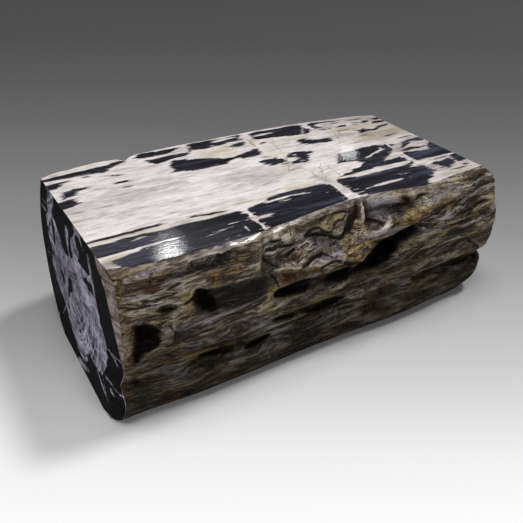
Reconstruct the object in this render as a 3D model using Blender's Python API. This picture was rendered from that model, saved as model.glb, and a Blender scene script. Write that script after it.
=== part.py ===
"""A petrified wood log, sawn flat on top and underneath to stand as a low table or bench.

It is one piece of stone and so one closed solid. The log lies along X. Its top and its foot are sawn flat,
its left end is sawn and leans out a little towards the foot, its right end is a natural, water-worn break,
and its two flanks keep the ledges, clefts, hollows and knots of the trunk.

The surface is a grid of rings. A ring is the log's cross-section, walked from the front edge of the top over
the top, down the back, along the foot and up the front. The rings stand side by side along the log, and each
end is closed by the same ring shrunk towards a middle point.

Working coordinates: X runs along the log from the front corner of its sawn end, Y runs back from the front
edge of the top, and Z is measured from the sawn top, so that heights are negative. The finished points are
moved to the part's own frame, whose origin lies on the floor under the middle of the log.
"""

import bmesh
import bpy
import numpy as np

# Driving dimensions, in metres.
HEIGHT = 0.438  # from the foot to the sawn top
TOP_LENGTH = 1.050  # length of the flat top
MIDDLE = (0.566, 0.263)  # working X and Y of the middle of the log
SAWN_END_PLACE = -0.008  # X of the sawn end's plane at the origin
SAWN_END_SKEW = -0.050  # what it gains in X for each metre of Y
SAWN_END_LEAN = 0.100  # and for each metre of Z
SAWN_CORNER = (  # how far its front corner is rounded at each Z: tighter on the lower ledge than on the trunk
    (-HEIGHT, 0.085), (-0.405, 0.060), (-0.335, 0.054), (-0.312, 0.070), (0.000, 0.070),
)  # fmt: skip
LEDGE_TOP = -0.312  # Z where the trunk gives way to its lower ledge
WORN_CORNER = 0.070  # radius of the worn end's upright corners
WORN_CORNER_START = -0.120  # Z below which they are fully round
POLE = (0.25, -0.21)  # Y and Z of the point that the end rings shrink to

# The grid: rings along the log, closer in the knotty middle, steps along each side of a ring, and sizes of
# the rings of the two ends.
RINGS_ALONG = 64
RING_SPACING = ((0.0, 0.22, 0.84, 1.0), (0.0, 0.31, 0.76, 1.0))  # shares of the rings and of the length
TOP_STEPS, BACK_STEPS, FOOT_STEPS, FRONT_STEPS = 8, 16, 5, 34
SAWN_END_RINGS = (0.97, 0.86, 0.66, 0.42, 0.20)
WORN_END_RINGS = (0.982, 0.950, 0.905, 0.84, 0.76, 0.65, 0.52, 0.37, 0.19)

# The long edges of the top, as (X, Y) points: it is sawn through an uneven trunk, so neither is straight.
TOP_FRONT_EDGE = (
    (-0.02, 0.004), (0.06, -0.018), (0.19, -0.023), (0.33, -0.019), (0.43, -0.006),
    (0.60, 0.012), (0.72, 0.004), (0.82, -0.015), (0.94, -0.004), (1.05, 0.004),
)  # fmt: skip
TOP_BACK_EDGE = (
    (-0.05, 0.470), (-0.02, 0.488), (0.00, 0.496), (0.03, 0.502), (0.08, 0.511), (0.15, 0.514),
    (0.178, 0.508), (0.192, 0.495), (0.206, 0.505), (0.222, 0.515), (0.28, 0.523), (0.47, 0.527),
    (0.70, 0.526), (0.79, 0.521), (0.92, 0.503), (0.98, 0.496), (1.05, 0.473),
)  # fmt: skip
FRONT_BULGE = 0.030  # how far the front flank stands out from them at most
FOOT_FRONT_EDGE = ((0.00, 0.004), (0.30, -0.003), (0.57, 0.000), (0.80, -0.005), (1.05, 0.002))

# The flanks' profiles, as (distance out from those edges, Z) points from the rounded shoulder at the top's
# edge down to the foot.
FRONT_PROFILE = (
    (0.000, 0.000), (0.004, -0.001), (0.010, -0.004), (0.016, -0.0078), (0.021, -0.0125),
    (0.0245, -0.020), (0.0265, -0.035), (0.0275, -0.060), (0.028, -0.100), (0.028, -0.150),
    (0.028, -0.210), (0.025, -0.255), (0.021, -0.284), (0.018, -0.298), (0.015, -0.307),
    (0.017, -0.316), (0.020, -0.330), (0.025, -0.360), (0.021, -0.400), (0.009, -0.425),
    (-0.012, -HEIGHT),
)  # fmt: skip
BACK_PROFILE = (
    (0.000, 0.000), (0.004, -0.004), (0.009, -0.018), (0.031, -0.055), (0.052, -0.105), (0.060, -0.160),
    (0.052, -0.220), (0.032, -0.285), (0.004, -0.345), (-0.034, -0.400), (-0.085, -HEIGHT),
)  # fmt: skip

# The worn end seen from the side, as (Z, X) points from the foot up.
WORN_PROFILE = (
    (-0.438, 1.055), (-0.418, 1.095), (-0.385, 1.140), (-0.345, 1.168), (-0.302, 1.182),
    (-0.245, 1.192), (-0.190, 1.189), (-0.120, 1.166), (-0.060, 1.128), (-0.020, 1.082),
    (0.000, TOP_LENGTH),
)  # fmt: skip

# Relief, as straight strokes: the first end's two coordinates, the second end's, half width, height. A stroke
# is a rounded ridge where its height is positive and a rounded groove where it is negative.
FRONT_RELIEF = (  # (X, Z)
    # the cleft between the trunk and its lower ledge, which deepens towards the worn end
    (-0.020, -0.303, 0.600, -0.298, 0.010, -0.004),
    (0.600, -0.298, 0.860, -0.300, 0.012, -0.010),
    (0.860, -0.300, 1.160, -0.302, 0.013, -0.018),
    # the slanting hollow right of the middle, the ledge under it and the rolled lip above it
    (0.799, -0.112, 0.712, -0.154, 0.020, -0.021),
    (0.712, -0.154, 0.617, -0.205, 0.022, -0.018),
    (0.817, -0.166, 0.692, -0.206, 0.020, 0.007),
    (0.817, -0.069, 0.643, -0.104, 0.020, 0.011),
    (0.602, -0.133, 0.633, -0.164, 0.016, 0.009),
    # the two long shallow hollows to its left, with the rolls between and under them
    (0.377, -0.180, 0.588, -0.192, 0.017, -0.013),
    (0.182, -0.114, 0.336, -0.124, 0.024, -0.010),
    (0.370, -0.224, 0.569, -0.238, 0.018, 0.008),
    (0.101, -0.250, 0.341, -0.237, 0.020, 0.007),
    (0.383, -0.266, 0.561, -0.267, 0.012, -0.007),
    (0.191, -0.073, 0.306, -0.079, 0.016, 0.006),
    # the dark three-cornered pit by the sawn end, and the pale roll rising beside it
    (0.041, -0.161, 0.033, -0.219, 0.022, -0.011),
    (0.029, -0.244, 0.093, -0.156, 0.014, 0.008),
    (0.097, -0.151, 0.134, -0.095, 0.016, 0.007),
    (0.167, -0.090, 0.175, -0.129, 0.013, -0.007),
    # the clefts that run down from the two cross cracks of the top
    (0.337, -0.001, 0.338, -0.088, 0.014, -0.009),
    (0.338, -0.088, 0.368, -0.119, 0.014, -0.007),
    (0.602, -0.010, 0.578, -0.070, 0.014, -0.010),
    (0.643, -0.011, 0.653, -0.067, 0.014, -0.010),
    (0.620, -0.018, 0.614, -0.074, 0.012, 0.006),
    # the smooth dish between them and the knots to its right
    (0.680, -0.043, 0.739, -0.041, 0.025, -0.010),
    (0.726, -0.010, 0.772, -0.009, 0.015, 0.007),
    (0.786, -0.014, 0.775, -0.048, 0.014, -0.006),
    (0.773, -0.070, 0.777, -0.073, 0.017, 0.009),
    (0.673, -0.084, 0.719, -0.076, 0.014, 0.006),
    # the curled knot left of the cracks
    (0.458, -0.045, 0.484, -0.058, 0.014, -0.008),
    (0.484, -0.060, 0.546, -0.085, 0.014, -0.008),
    (0.509, -0.035, 0.551, -0.042, 0.014, 0.006),
    (0.549, -0.056, 0.560, -0.063, 0.013, 0.008),
    # the crumpled field below it
    (0.377, -0.072, 0.409, -0.064, 0.014, -0.007),
    (0.397, -0.131, 0.448, -0.149, 0.014, -0.007),
    (0.475, -0.110, 0.502, -0.109, 0.014, -0.007),
    (0.418, -0.109, 0.459, -0.126, 0.014, 0.006),
    (0.511, -0.135, 0.572, -0.142, 0.015, 0.007),
    (0.362, -0.152, 0.376, -0.139, 0.014, 0.006),
    # the shoulder near the worn end, and the shallow furrows in it
    (0.898, -0.121, 1.044, -0.167, 0.045, 0.010),
    (0.856, -0.069, 1.059, -0.095, 0.014, -0.006),
    (0.838, -0.203, 1.045, -0.228, 0.018, -0.007),
    (0.848, -0.011, 0.976, -0.027, 0.014, 0.005),
    # pits of the lower ledge, and the swirls at its top
    (0.183, -0.317, 0.256, -0.319, 0.012, -0.008),
    (0.309, -0.323, 0.363, -0.323, 0.011, -0.007),
    (0.055, -0.332, 0.143, -0.334, 0.018, 0.006),
    (0.632, -0.309, 0.709, -0.309, 0.013, 0.006),
    (0.462, -0.346, 0.733, -0.339, 0.016, -0.006),
    (0.814, -0.326, 1.037, -0.328, 0.020, 0.006),
)  # fmt: skip
BACK_RELIEF = (  # (X, Z)
    (0.00, -0.262, 0.44, -0.246, 0.016, -0.015),
    (0.44, -0.246, 0.80, -0.268, 0.016, -0.016),
    (0.80, -0.268, 1.16, -0.298, 0.013, -0.015),
    (0.14, -0.128, 0.42, -0.146, 0.022, -0.014),
    (0.16, -0.082, 0.46, -0.092, 0.024, 0.010),
    (0.55, -0.172, 0.80, -0.118, 0.022, -0.016),
    (0.58, -0.118, 0.78, -0.070, 0.022, 0.009),
    (0.60, -0.214, 0.86, -0.200, 0.020, 0.008),
    (0.88, -0.180, 1.06, -0.155, 0.034, 0.011),
    (0.06, -0.190, 0.30, -0.210, 0.024, 0.008),
    (0.24, -0.318, 0.52, -0.334, 0.022, 0.009),
    (0.50, -0.372, 0.74, -0.360, 0.020, -0.009),
    (0.76, -0.340, 1.00, -0.350, 0.022, 0.008),
    (0.198, -0.015, 0.214, -0.100, 0.014, -0.011),
    (0.585, -0.012, 0.570, -0.070, 0.013, -0.009),
    (0.905, -0.012, 0.920, -0.080, 0.013, -0.008),
)  # fmt: skip
WORN_RELIEF = (  # (Y, Z)
    # the notch where the cleft of the front flank comes round the corner, and the one from the back
    (-0.08, -0.302, 0.02, -0.302, 0.014, -0.044),
    (0.02, -0.302, 0.13, -0.290, 0.020, -0.014),
    (0.46, -0.284, 0.64, -0.298, 0.016, -0.022),
    # broad hollows and swellings
    (0.08, -0.120, 0.26, -0.150, 0.028, -0.012),
    (0.10, -0.215, 0.32, -0.205, 0.030, 0.012),
    (0.30, -0.090, 0.46, -0.120, 0.030, 0.010),
    (0.14, -0.360, 0.38, -0.350, 0.030, 0.010),
)  # fmt: skip

# Uneven rolls along the grain, and finer lumps in the knotty field of the front flank.
GRAIN_HEIGHT = 0.0035
KNOT_HEIGHT = 0.0045
KNOT_FIELD = (0.47, -0.092, 0.13, 0.070)  # X, Z and the two half sizes
# The relief dies away towards the top's edge and the foot over these heights.
TOP_FADE = 0.012
FOOT_FADE = 0.024
SAWN_FADE = 0.045  # and sinks to a share of itself over this length before the sawn end
SAWN_SHARE = 0.35


def smooth_through(points, at):
    """B at each A along the curve through the (A, B) points, by cubic pieces that share slopes."""
    a, b = np.array(points, float).T
    slope = np.gradient(b, a)
    i = np.clip(np.searchsorted(a, at) - 1, 0, len(a) - 2)
    step = a[i + 1] - a[i]
    t = np.clip((at - a[i]) / step, 0.0, 1.0)
    rise = b[i + 1] - b[i]
    start, end = slope[i] * step, slope[i + 1] * step
    return b[i] + t * (start + t * (3 * rise - 2 * start - end + t * (start + end - 2 * rise)))


def even_path(points, steps):
    """Points at even spacing along the smooth path through the given ones, without the last."""
    points = np.array(points, float)
    along = np.arange(len(points), dtype=float)
    fine = np.linspace(0.0, along[-1], 40 * len(points))
    path = np.stack([smooth_through(np.stack([along, side], 1), fine) for side in points.T])
    length = np.concatenate([[0.0], np.cumsum(np.hypot(*np.diff(path)))])
    at = np.arange(steps) / steps * length[-1]
    return np.stack([np.interp(at, length, side) for side in path])


def ramp(low, high, value):
    """0 at low, 1 at high, and an even S curve between."""
    t = np.clip((value - low) / (high - low), 0.0, 1.0)
    return t * t * (3 - 2 * t)


def lattice(i, j, seed):
    """A fixed number from 0 to 1 for each lattice point: the fraction of a large sine."""
    value = np.sin(i * 127.1 + j * 311.7 + seed * 74.7) * 43758.5453
    return value - np.floor(value)


def noise(x, y, seed):
    """Smooth noise from -1 to 1: the lattice's numbers blended by S curves."""
    i, j = np.floor(x), np.floor(y)
    s, t = ramp(0.0, 1.0, x - i), ramp(0.0, 1.0, y - j)
    near = lattice(i, j, seed) * (1 - s) + lattice(i + 1, j, seed) * s
    far = lattice(i, j + 1, seed) * (1 - s) + lattice(i + 1, j + 1, seed) * s
    return 2 * (near * (1 - t) + far * t) - 1


def strokes(table, a, b):
    """Sum of a table's strokes at the places (a, b): each has a bell-shaped section and rounded ends."""
    height = np.zeros(np.broadcast(a, b).shape)
    for a0, b0, a1, b1, half_width, rise in table:
        da, db = a1 - a0, b1 - b0
        along = np.clip(((a - a0) * da + (b - b0) * db) / (da * da + db * db), 0.0, 1.0)
        off = np.hypot(a - a0 - along * da, b - b0 - along * db)
        height = height + rise * np.exp(-((off / half_width) ** 2))
    return height


def front_side(x, z, out):
    """Y of the front flank: it leaves the top's uneven front edge and reaches the foot's straighter one."""
    lower = ramp(0.0, LEDGE_TOP, z)
    top, foot = smooth_through(TOP_FRONT_EDGE, x), smooth_through(FOOT_FRONT_EDGE, x)
    return top + lower * (foot - top) - out


def ring():
    """The cross-section, as distances out from the edges, Z, and the side that each step belongs to."""
    back_out, back_z = even_path(BACK_PROFILE, BACK_STEPS)
    # The front is walked upwards, so its profile is turned round.
    front_out, front_z = even_path(FRONT_PROFILE[::-1], FRONT_STEPS)
    over = np.arange(TOP_STEPS) / TOP_STEPS
    under = np.arange(FOOT_STEPS) / FOOT_STEPS
    out = np.concatenate([0 * over, back_out, 0 * under, front_out])
    z = np.concatenate([0 * over, back_z, 0 * under - HEIGHT, front_z])
    share = np.concatenate([over, 0 * back_z, under, 0 * front_z])
    side = np.repeat(["top", "back", "foot", "front"], [TOP_STEPS, BACK_STEPS, FOOT_STEPS, FRONT_STEPS])
    return out, z, share, side


def sections(x):
    """Y of every ring step at the places x, a row for each ring: the log before its relief."""
    out, z, share, side = ring()
    x = np.clip(x, TOP_BACK_EDGE[0][0], TOP_LENGTH)
    front = front_side(x, z, out)
    back = smooth_through(TOP_BACK_EDGE, x) + out
    top = (1 - share) * smooth_through(TOP_FRONT_EDGE, x) + share * smooth_through(TOP_BACK_EDGE, x)
    foot_back = smooth_through(TOP_BACK_EDGE, x) + BACK_PROFILE[-1][0]
    foot_front = smooth_through(FOOT_FRONT_EDGE, x) - FRONT_PROFILE[-1][0]
    foot = (1 - share) * foot_back + share * foot_front
    return np.select([side == "front", side == "back", side == "top"], [front, back, top], foot)


def sawn_end(y, z):
    """X of the sawn end: a leaning plane, turned to X = 0 at its front corner."""
    plane = SAWN_END_PLACE + SAWN_END_SKEW * y + SAWN_END_LEAN * z
    inset = np.clip((y + FRONT_BULGE) / smooth_through(SAWN_CORNER, z), 0.0, 1.0)
    return plane * (1 - (1 - inset) ** 2)


def worn_end(y, z):
    """X of the worn end: its side profile with its relief, drawn in round the two upright corners."""
    front = front_side(TOP_LENGTH, z, smooth_through([(b, a) for a, b in FRONT_PROFILE[::-1]], z))
    back = TOP_BACK_EDGE[-1][1] + smooth_through([(b, a) for a, b in BACK_PROFILE[::-1]], z)
    inset = np.clip(np.minimum(y - front, back - y) / WORN_CORNER, 0.0, 1.0)
    corner = WORN_CORNER * (1 - np.sqrt(1 - (1 - inset) ** 2))
    fade = ramp(0.0, -TOP_FADE, z) * ramp(-HEIGHT, -HEIGHT + FOOT_FADE, z)
    grain = 2 * GRAIN_HEIGHT * noise(y * 9.0, z * 14.0, 5)
    relief = fade * (strokes(WORN_RELIEF, y, z) + grain)
    return smooth_through(WORN_PROFILE, z) - corner * ramp(0.0, WORN_CORNER_START, z) + relief


def relieved(x, y, z, side):
    """Y and Z with the flanks' relief: points are pushed along the section's outward normal."""
    dy = np.roll(y, -1, 1) - np.roll(y, 1, 1)
    dz = np.roll(z, -1, 1) - np.roll(z, 1, 1)
    size = np.hypot(dy, dz)
    grain = GRAIN_HEIGHT * (noise(x * 5.0, z * 26.0, 3) + 0.6 * noise(x * 11.0 + 4.0, z * 47.0, 8))
    cx, cz, half_x, half_z = KNOT_FIELD
    knots = np.exp(-(((x - cx) / half_x) ** 4) - ((z - cz) / half_z) ** 4) * KNOT_HEIGHT
    knots = knots * noise(x * 26.0 + 8 * z, z * 40.0, 12)
    front = strokes(FRONT_RELIEF, x, z) + grain + knots
    back = strokes(BACK_RELIEF, x, z) + grain
    fade = ramp(0.0, -TOP_FADE, z) * ramp(-HEIGHT, -HEIGHT + FOOT_FADE, z)
    fade = fade * (SAWN_SHARE + (1 - SAWN_SHARE) * ramp(-0.02, SAWN_FADE, x))
    height = fade * ((side == "front") * front + (side == "back") * back)
    return y - height * dz / size, z + height * dy / size


def log_grid():
    """All the rings, as an array of (ring, step, XYZ) points, and the two poles."""
    _, z_ring, _, side = ring()
    start = sawn_end(sections(np.zeros((1, 1)))[0], z_ring)
    end = worn_end(sections(np.full((1, 1), TOP_LENGTH))[0], z_ring)
    share = np.interp(np.linspace(0.0, 1.0, RINGS_ALONG), *RING_SPACING)[:, None]
    x = start + share * (end - start)
    y = sections(x)
    z = np.broadcast_to(z_ring, y.shape)
    y, z = relieved(x, y, z, side)
    rings = [np.stack([x, y, z], 2)]
    for sizes, rim, surface in ((SAWN_END_RINGS, 0, sawn_end), (WORN_END_RINGS, -1, worn_end)):
        size = np.array(sizes)[:, None]
        y_cap = POLE[0] + size * (y[rim] - POLE[0])
        z_cap = POLE[1] + size * (z[rim] - POLE[1])
        # The flanks' relief has moved the rim a little off the end's surface, so the rings near it follow.
        shift = (x[rim] - surface(y[rim], z[rim])) * size**12
        cap = np.stack([surface(y_cap, z_cap) + shift, y_cap, z_cap], 2)
        rings = [cap[::-1], *rings] if rim == 0 else [*rings, cap]
    poles = [(float(surface(*POLE)), *POLE) for surface in (sawn_end, worn_end)]
    return np.concatenate(rings), np.array(poles)


def build_log():
    """The closed mesh: four-sided faces between the rings, and a fan of triangles at each pole."""
    grid, poles = log_grid()
    to_frame = np.array([-MIDDLE[0], -MIDDLE[1], HEIGHT])
    mesh = bpy.data.meshes.new("petrified_log")
    shape = bmesh.new()
    rings = [[shape.verts.new(point) for point in row + to_frame] for row in grid]
    for row, beyond in zip(rings, rings[1:]):
        for k, corner in enumerate(row):
            following = (k + 1) % len(row)
            shape.faces.new((corner, beyond[k], beyond[following], row[following]))
    for row, pole in ((rings[0], poles[0]), (rings[-1], poles[1])):
        tip = shape.verts.new(pole + to_frame)
        for k, corner in enumerate(row):
            shape.faces.new((tip, corner, row[(k + 1) % len(row)]))
    bmesh.ops.recalc_face_normals(shape, faces=shape.faces)
    bmesh.ops.triangulate(shape, faces=shape.faces)
    shape.to_mesh(mesh)
    shape.free()
    mesh.shade_smooth()
    mesh.set_sharp_from_angle(angle=np.radians(40))
    return mesh


def stone():
    """Polished petrified wood, between its grey-brown rind and its black and cream heart."""
    material = bpy.data.materials.new("petrified_wood")
    material.use_nodes = True
    surface = material.node_tree.nodes["Principled BSDF"]
    surface.inputs["Base Color"].default_value = (0.17, 0.14, 0.11, 1.0)
    surface.inputs["Roughness"].default_value = 0.22
    surface.inputs["Metallic"].default_value = 0.0
    return material


for old in list(bpy.data.objects):
    bpy.data.objects.remove(old)
log = bpy.data.objects.new("petrified_log", build_log())
log.data.materials.append(stone())
bpy.context.scene.collection.objects.link(log)
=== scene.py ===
import bpy
import numpy as np
from mathutils import Matrix, Vector


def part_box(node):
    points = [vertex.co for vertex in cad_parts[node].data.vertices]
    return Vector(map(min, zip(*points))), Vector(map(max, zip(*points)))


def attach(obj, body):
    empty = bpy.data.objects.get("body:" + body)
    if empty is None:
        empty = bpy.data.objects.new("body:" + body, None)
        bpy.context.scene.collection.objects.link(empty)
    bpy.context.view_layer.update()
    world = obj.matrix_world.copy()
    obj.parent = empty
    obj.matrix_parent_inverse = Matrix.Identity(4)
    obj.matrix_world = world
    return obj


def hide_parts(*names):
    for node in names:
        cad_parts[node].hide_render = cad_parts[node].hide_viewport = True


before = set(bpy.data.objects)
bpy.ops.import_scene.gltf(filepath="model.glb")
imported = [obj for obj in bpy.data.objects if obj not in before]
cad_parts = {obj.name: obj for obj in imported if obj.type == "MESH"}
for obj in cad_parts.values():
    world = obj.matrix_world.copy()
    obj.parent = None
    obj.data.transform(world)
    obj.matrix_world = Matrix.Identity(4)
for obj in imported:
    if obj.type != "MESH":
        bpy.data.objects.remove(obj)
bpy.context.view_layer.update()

# ---------------------------------------------------------------------------------------------------
# The block: a trunk that has turned to stone, cut across at its left end and broken at its right, then
# sawn flat on top and underneath. It is a grid of rings: each ring is the trunk's cross-section, walked
# from the front edge of the top over the top, down the back, along the foot and up the front.
#
# Working coordinates, in metres: X along the log from the front corner of its sawn end, Y back from the
# front edge of the top, Z up from the sawn top, so that heights are negative.
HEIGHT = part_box("petrified_log")[1].z
TOP_LENGTH = 1.050
MIDDLE = (0.566, 0.263)
POLE = (0.25, -0.21)  # Y and Z that the rings of the two ends shrink to

RINGS_ALONG = 284
RING_SPACING = ((0.0, 0.30, 0.80, 1.0), (0.0, 0.32, 0.76, 1.0))  # closer together in the knotty middle
TOP_STEPS, BACK_STEPS, FOOT_STEPS, FRONT_STEPS = 104, 40, 8, 136
SAWN_END_RINGS, WORN_END_RINGS = 40, 20
SAWN_END_CROWDING, WORN_END_CROWDING = 1.25, 1.4  # above 1, an end's rings lie closer near its rim

TOP_FRONT_EDGE = (
    (-0.02, 0.004), (0.06, -0.018), (0.19, -0.023), (0.33, -0.019), (0.43, -0.006),
    (0.60, 0.012), (0.72, 0.004), (0.82, -0.015), (0.94, -0.004), (1.05, 0.004),
)  # fmt: skip
TOP_BACK_EDGE = (
    (-0.05, 0.470), (-0.02, 0.488), (0.00, 0.496), (0.03, 0.502), (0.08, 0.511), (0.15, 0.514),
    (0.178, 0.508), (0.192, 0.495), (0.206, 0.505), (0.222, 0.515), (0.28, 0.523), (0.47, 0.527),
    (0.70, 0.526), (0.79, 0.521), (0.92, 0.503), (0.98, 0.496), (1.05, 0.473),
)  # fmt: skip
FOOT_FRONT_EDGE = ((0.00, 0.004), (0.30, -0.003), (0.57, 0.000), (0.80, -0.005), (1.05, 0.002))
LEDGE_TOP = -0.312  # Z where the trunk gives way to its lower ledge

# Profiles of the flanks, as (distance out from those edges, Z), from a softly rounded shoulder downwards.
FRONT_PROFILE = (
    (0.000, 0.000), (0.004, -0.001), (0.010, -0.004), (0.016, -0.0078), (0.021, -0.0125),
    (0.0245, -0.020), (0.0265, -0.035), (0.0275, -0.060), (0.028, -0.100), (0.028, -0.150),
    (0.028, -0.210), (0.025, -0.255), (0.021, -0.284), (0.018, -0.298), (0.015, -0.307),
    (0.017, -0.316), (0.020, -0.330), (0.025, -0.360), (0.021, -0.400), (0.009, -0.425),
    (-0.012, -HEIGHT),
)  # fmt: skip
BACK_PROFILE = (
    (0.000, 0.000), (0.004, -0.004), (0.009, -0.018), (0.031, -0.055), (0.052, -0.105), (0.060, -0.160),
    (0.052, -0.220), (0.032, -0.285), (0.004, -0.345), (-0.034, -0.400), (-0.085, -HEIGHT),
)  # fmt: skip


def smooth_through(points, at):
    """B at each A along the curve through the (A, B) points, by cubic pieces that share slopes."""
    a, b = np.array(points, float).T
    slope = np.gradient(b, a)
    i = np.clip(np.searchsorted(a, at) - 1, 0, len(a) - 2)
    step = a[i + 1] - a[i]
    t = np.clip((at - a[i]) / step, 0.0, 1.0)
    rise = b[i + 1] - b[i]
    start, end = slope[i] * step, slope[i + 1] * step
    return b[i] + t * (start + t * (3 * rise - 2 * start - end + t * (start + end - 2 * rise)))


def even_path(points, steps):
    """Points at even spacing along the smooth path through the given ones, without the last."""
    points = np.array(points, float)
    along = np.arange(len(points), dtype=float)
    fine = np.linspace(0.0, along[-1], 40 * len(points))
    path = np.stack([smooth_through(np.stack([along, side], 1), fine) for side in points.T])
    length = np.concatenate([[0.0], np.cumsum(np.hypot(*np.diff(path)))])
    at = np.arange(steps) / steps * length[-1]
    return np.stack([np.interp(at, length, side) for side in path])


def ramp(low, high, value):
    """0 at low, 1 at high, and an even S curve between."""
    t = np.clip((value - low) / (high - low), 0.0, 1.0)
    return t * t * (3 - 2 * t)


def front_side(x, z, out):
    """Y of the front flank: it leaves the top's uneven front edge and reaches the foot's straighter one."""
    lower = ramp(0.0, LEDGE_TOP, z)
    top, foot = smooth_through(TOP_FRONT_EDGE, x), smooth_through(FOOT_FRONT_EDGE, x)
    return top + lower * (foot - top) - out


def ring():
    """The cross-section, as distances out from the edges, Z, and the side that each step belongs to."""
    back_out, back_z = even_path(BACK_PROFILE, BACK_STEPS)
    front_out, front_z = even_path(FRONT_PROFILE[::-1], FRONT_STEPS)
    over = np.arange(TOP_STEPS) / TOP_STEPS
    under = np.arange(FOOT_STEPS) / FOOT_STEPS
    out = np.concatenate([0 * over, back_out, 0 * under, front_out])
    z = np.concatenate([0 * over, back_z, 0 * under - HEIGHT, front_z])
    share = np.concatenate([over, 0 * back_z, under, 0 * front_z])
    side = np.repeat(["top", "back", "foot", "front"], [TOP_STEPS, BACK_STEPS, FOOT_STEPS, FRONT_STEPS])
    return out, z, share, side


def sections(x):
    """Y of every ring step at the places x, a row for each ring: the log before its relief."""
    out, z, share, side = ring()
    x = np.clip(x, TOP_BACK_EDGE[0][0], TOP_LENGTH)
    front = front_side(x, z, out)
    back = smooth_through(TOP_BACK_EDGE, x) + out
    top = (1 - share) * smooth_through(TOP_FRONT_EDGE, x) + share * smooth_through(TOP_BACK_EDGE, x)
    foot_back = smooth_through(TOP_BACK_EDGE, x) + BACK_PROFILE[-1][0]
    foot_front = smooth_through(FOOT_FRONT_EDGE, x) - FRONT_PROFILE[-1][0]
    foot = (1 - share) * foot_back + share * foot_front
    return np.select([side == "front", side == "back", side == "top"], [front, back, top], foot)


# ---------------------------------------------------------------------------------------------------
# The relief of the natural faces: clefts, ledges, hollows and knots of the old trunk, worn smooth by water
# and then polished. Each is a straight stroke: the two coordinates of its first end, those of its second
# end, its half width, and how far it stands out. A stroke that sinks in has a negative height.
FRONT_RELIEF = (  # (X, Z)
    # the cleft between the trunk and its lower ledge
    (-0.020, -0.303, 0.600, -0.298, 0.010, -0.004),
    (0.600, -0.298, 0.860, -0.300, 0.012, -0.010),
    (0.860, -0.300, 1.160, -0.302, 0.013, -0.018),
    # the slanting hollow right of the middle, the ledge under it and the rolled lip above it
    (0.799, -0.112, 0.712, -0.154, 0.020, -0.021),
    (0.712, -0.154, 0.617, -0.205, 0.022, -0.018),
    (0.817, -0.166, 0.692, -0.206, 0.020, 0.007),
    (0.817, -0.069, 0.643, -0.104, 0.020, 0.011),
    (0.602, -0.133, 0.633, -0.164, 0.016, 0.009),
    # the two long shallow hollows to its left, with the rolls between and under them
    (0.377, -0.180, 0.588, -0.192, 0.017, -0.013),
    (0.182, -0.114, 0.336, -0.124, 0.024, -0.010),
    (0.370, -0.224, 0.569, -0.238, 0.018, 0.008),
    (0.101, -0.250, 0.341, -0.237, 0.020, 0.007),
    (0.383, -0.266, 0.561, -0.267, 0.012, -0.007),
    (0.191, -0.073, 0.306, -0.079, 0.016, 0.006),
    # the dark three-cornered pit by the sawn end, and the pale roll rising beside it
    (0.041, -0.161, 0.033, -0.219, 0.022, -0.011),
    (0.029, -0.244, 0.093, -0.156, 0.014, 0.008),
    (0.097, -0.151, 0.134, -0.095, 0.016, 0.007),
    (0.167, -0.090, 0.175, -0.129, 0.013, -0.007),
    # the clefts that run down from the two cross cracks of the top
    (0.337, -0.001, 0.338, -0.088, 0.014, -0.009),
    (0.338, -0.088, 0.368, -0.119, 0.014, -0.007),
    (0.602, -0.010, 0.578, -0.070, 0.014, -0.010),
    (0.643, -0.011, 0.653, -0.067, 0.014, -0.010),
    (0.620, -0.018, 0.614, -0.074, 0.012, 0.006),
    # the smooth dish between them and the knots to its right
    (0.680, -0.043, 0.739, -0.041, 0.025, -0.010),
    (0.726, -0.010, 0.772, -0.009, 0.015, 0.007),
    (0.786, -0.014, 0.775, -0.048, 0.014, -0.006),
    (0.773, -0.070, 0.777, -0.073, 0.017, 0.009),
    (0.673, -0.084, 0.719, -0.076, 0.014, 0.006),
    # the curled knot left of the cracks
    (0.458, -0.045, 0.484, -0.058, 0.014, -0.008),
    (0.484, -0.060, 0.546, -0.085, 0.014, -0.008),
    (0.509, -0.035, 0.551, -0.042, 0.014, 0.006),
    (0.549, -0.056, 0.560, -0.063, 0.013, 0.008),
    # the crumpled field below it
    (0.377, -0.072, 0.409, -0.064, 0.014, -0.007),
    (0.397, -0.131, 0.448, -0.149, 0.014, -0.007),
    (0.475, -0.110, 0.502, -0.109, 0.014, -0.007),
    (0.418, -0.109, 0.459, -0.126, 0.014, 0.006),
    (0.511, -0.135, 0.572, -0.142, 0.015, 0.007),
    (0.362, -0.152, 0.376, -0.139, 0.014, 0.006),
    # the shoulder near the worn end, and the shallow furrows in it
    (0.898, -0.121, 1.044, -0.167, 0.045, 0.010),
    (0.856, -0.069, 1.059, -0.095, 0.014, -0.006),
    (0.838, -0.203, 1.045, -0.228, 0.018, -0.007),
    (0.848, -0.011, 0.976, -0.027, 0.014, 0.005),
    # pits of the lower ledge, and the swirls at its top
    (0.183, -0.317, 0.256, -0.319, 0.012, -0.008),
    (0.309, -0.323, 0.363, -0.323, 0.011, -0.007),
    (0.055, -0.332, 0.143, -0.334, 0.018, 0.006),
    (0.632, -0.309, 0.709, -0.309, 0.013, 0.006),
    (0.462, -0.346, 0.733, -0.339, 0.016, -0.006),
    (0.814, -0.326, 1.037, -0.328, 0.020, 0.006),
)  # fmt: skip
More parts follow.
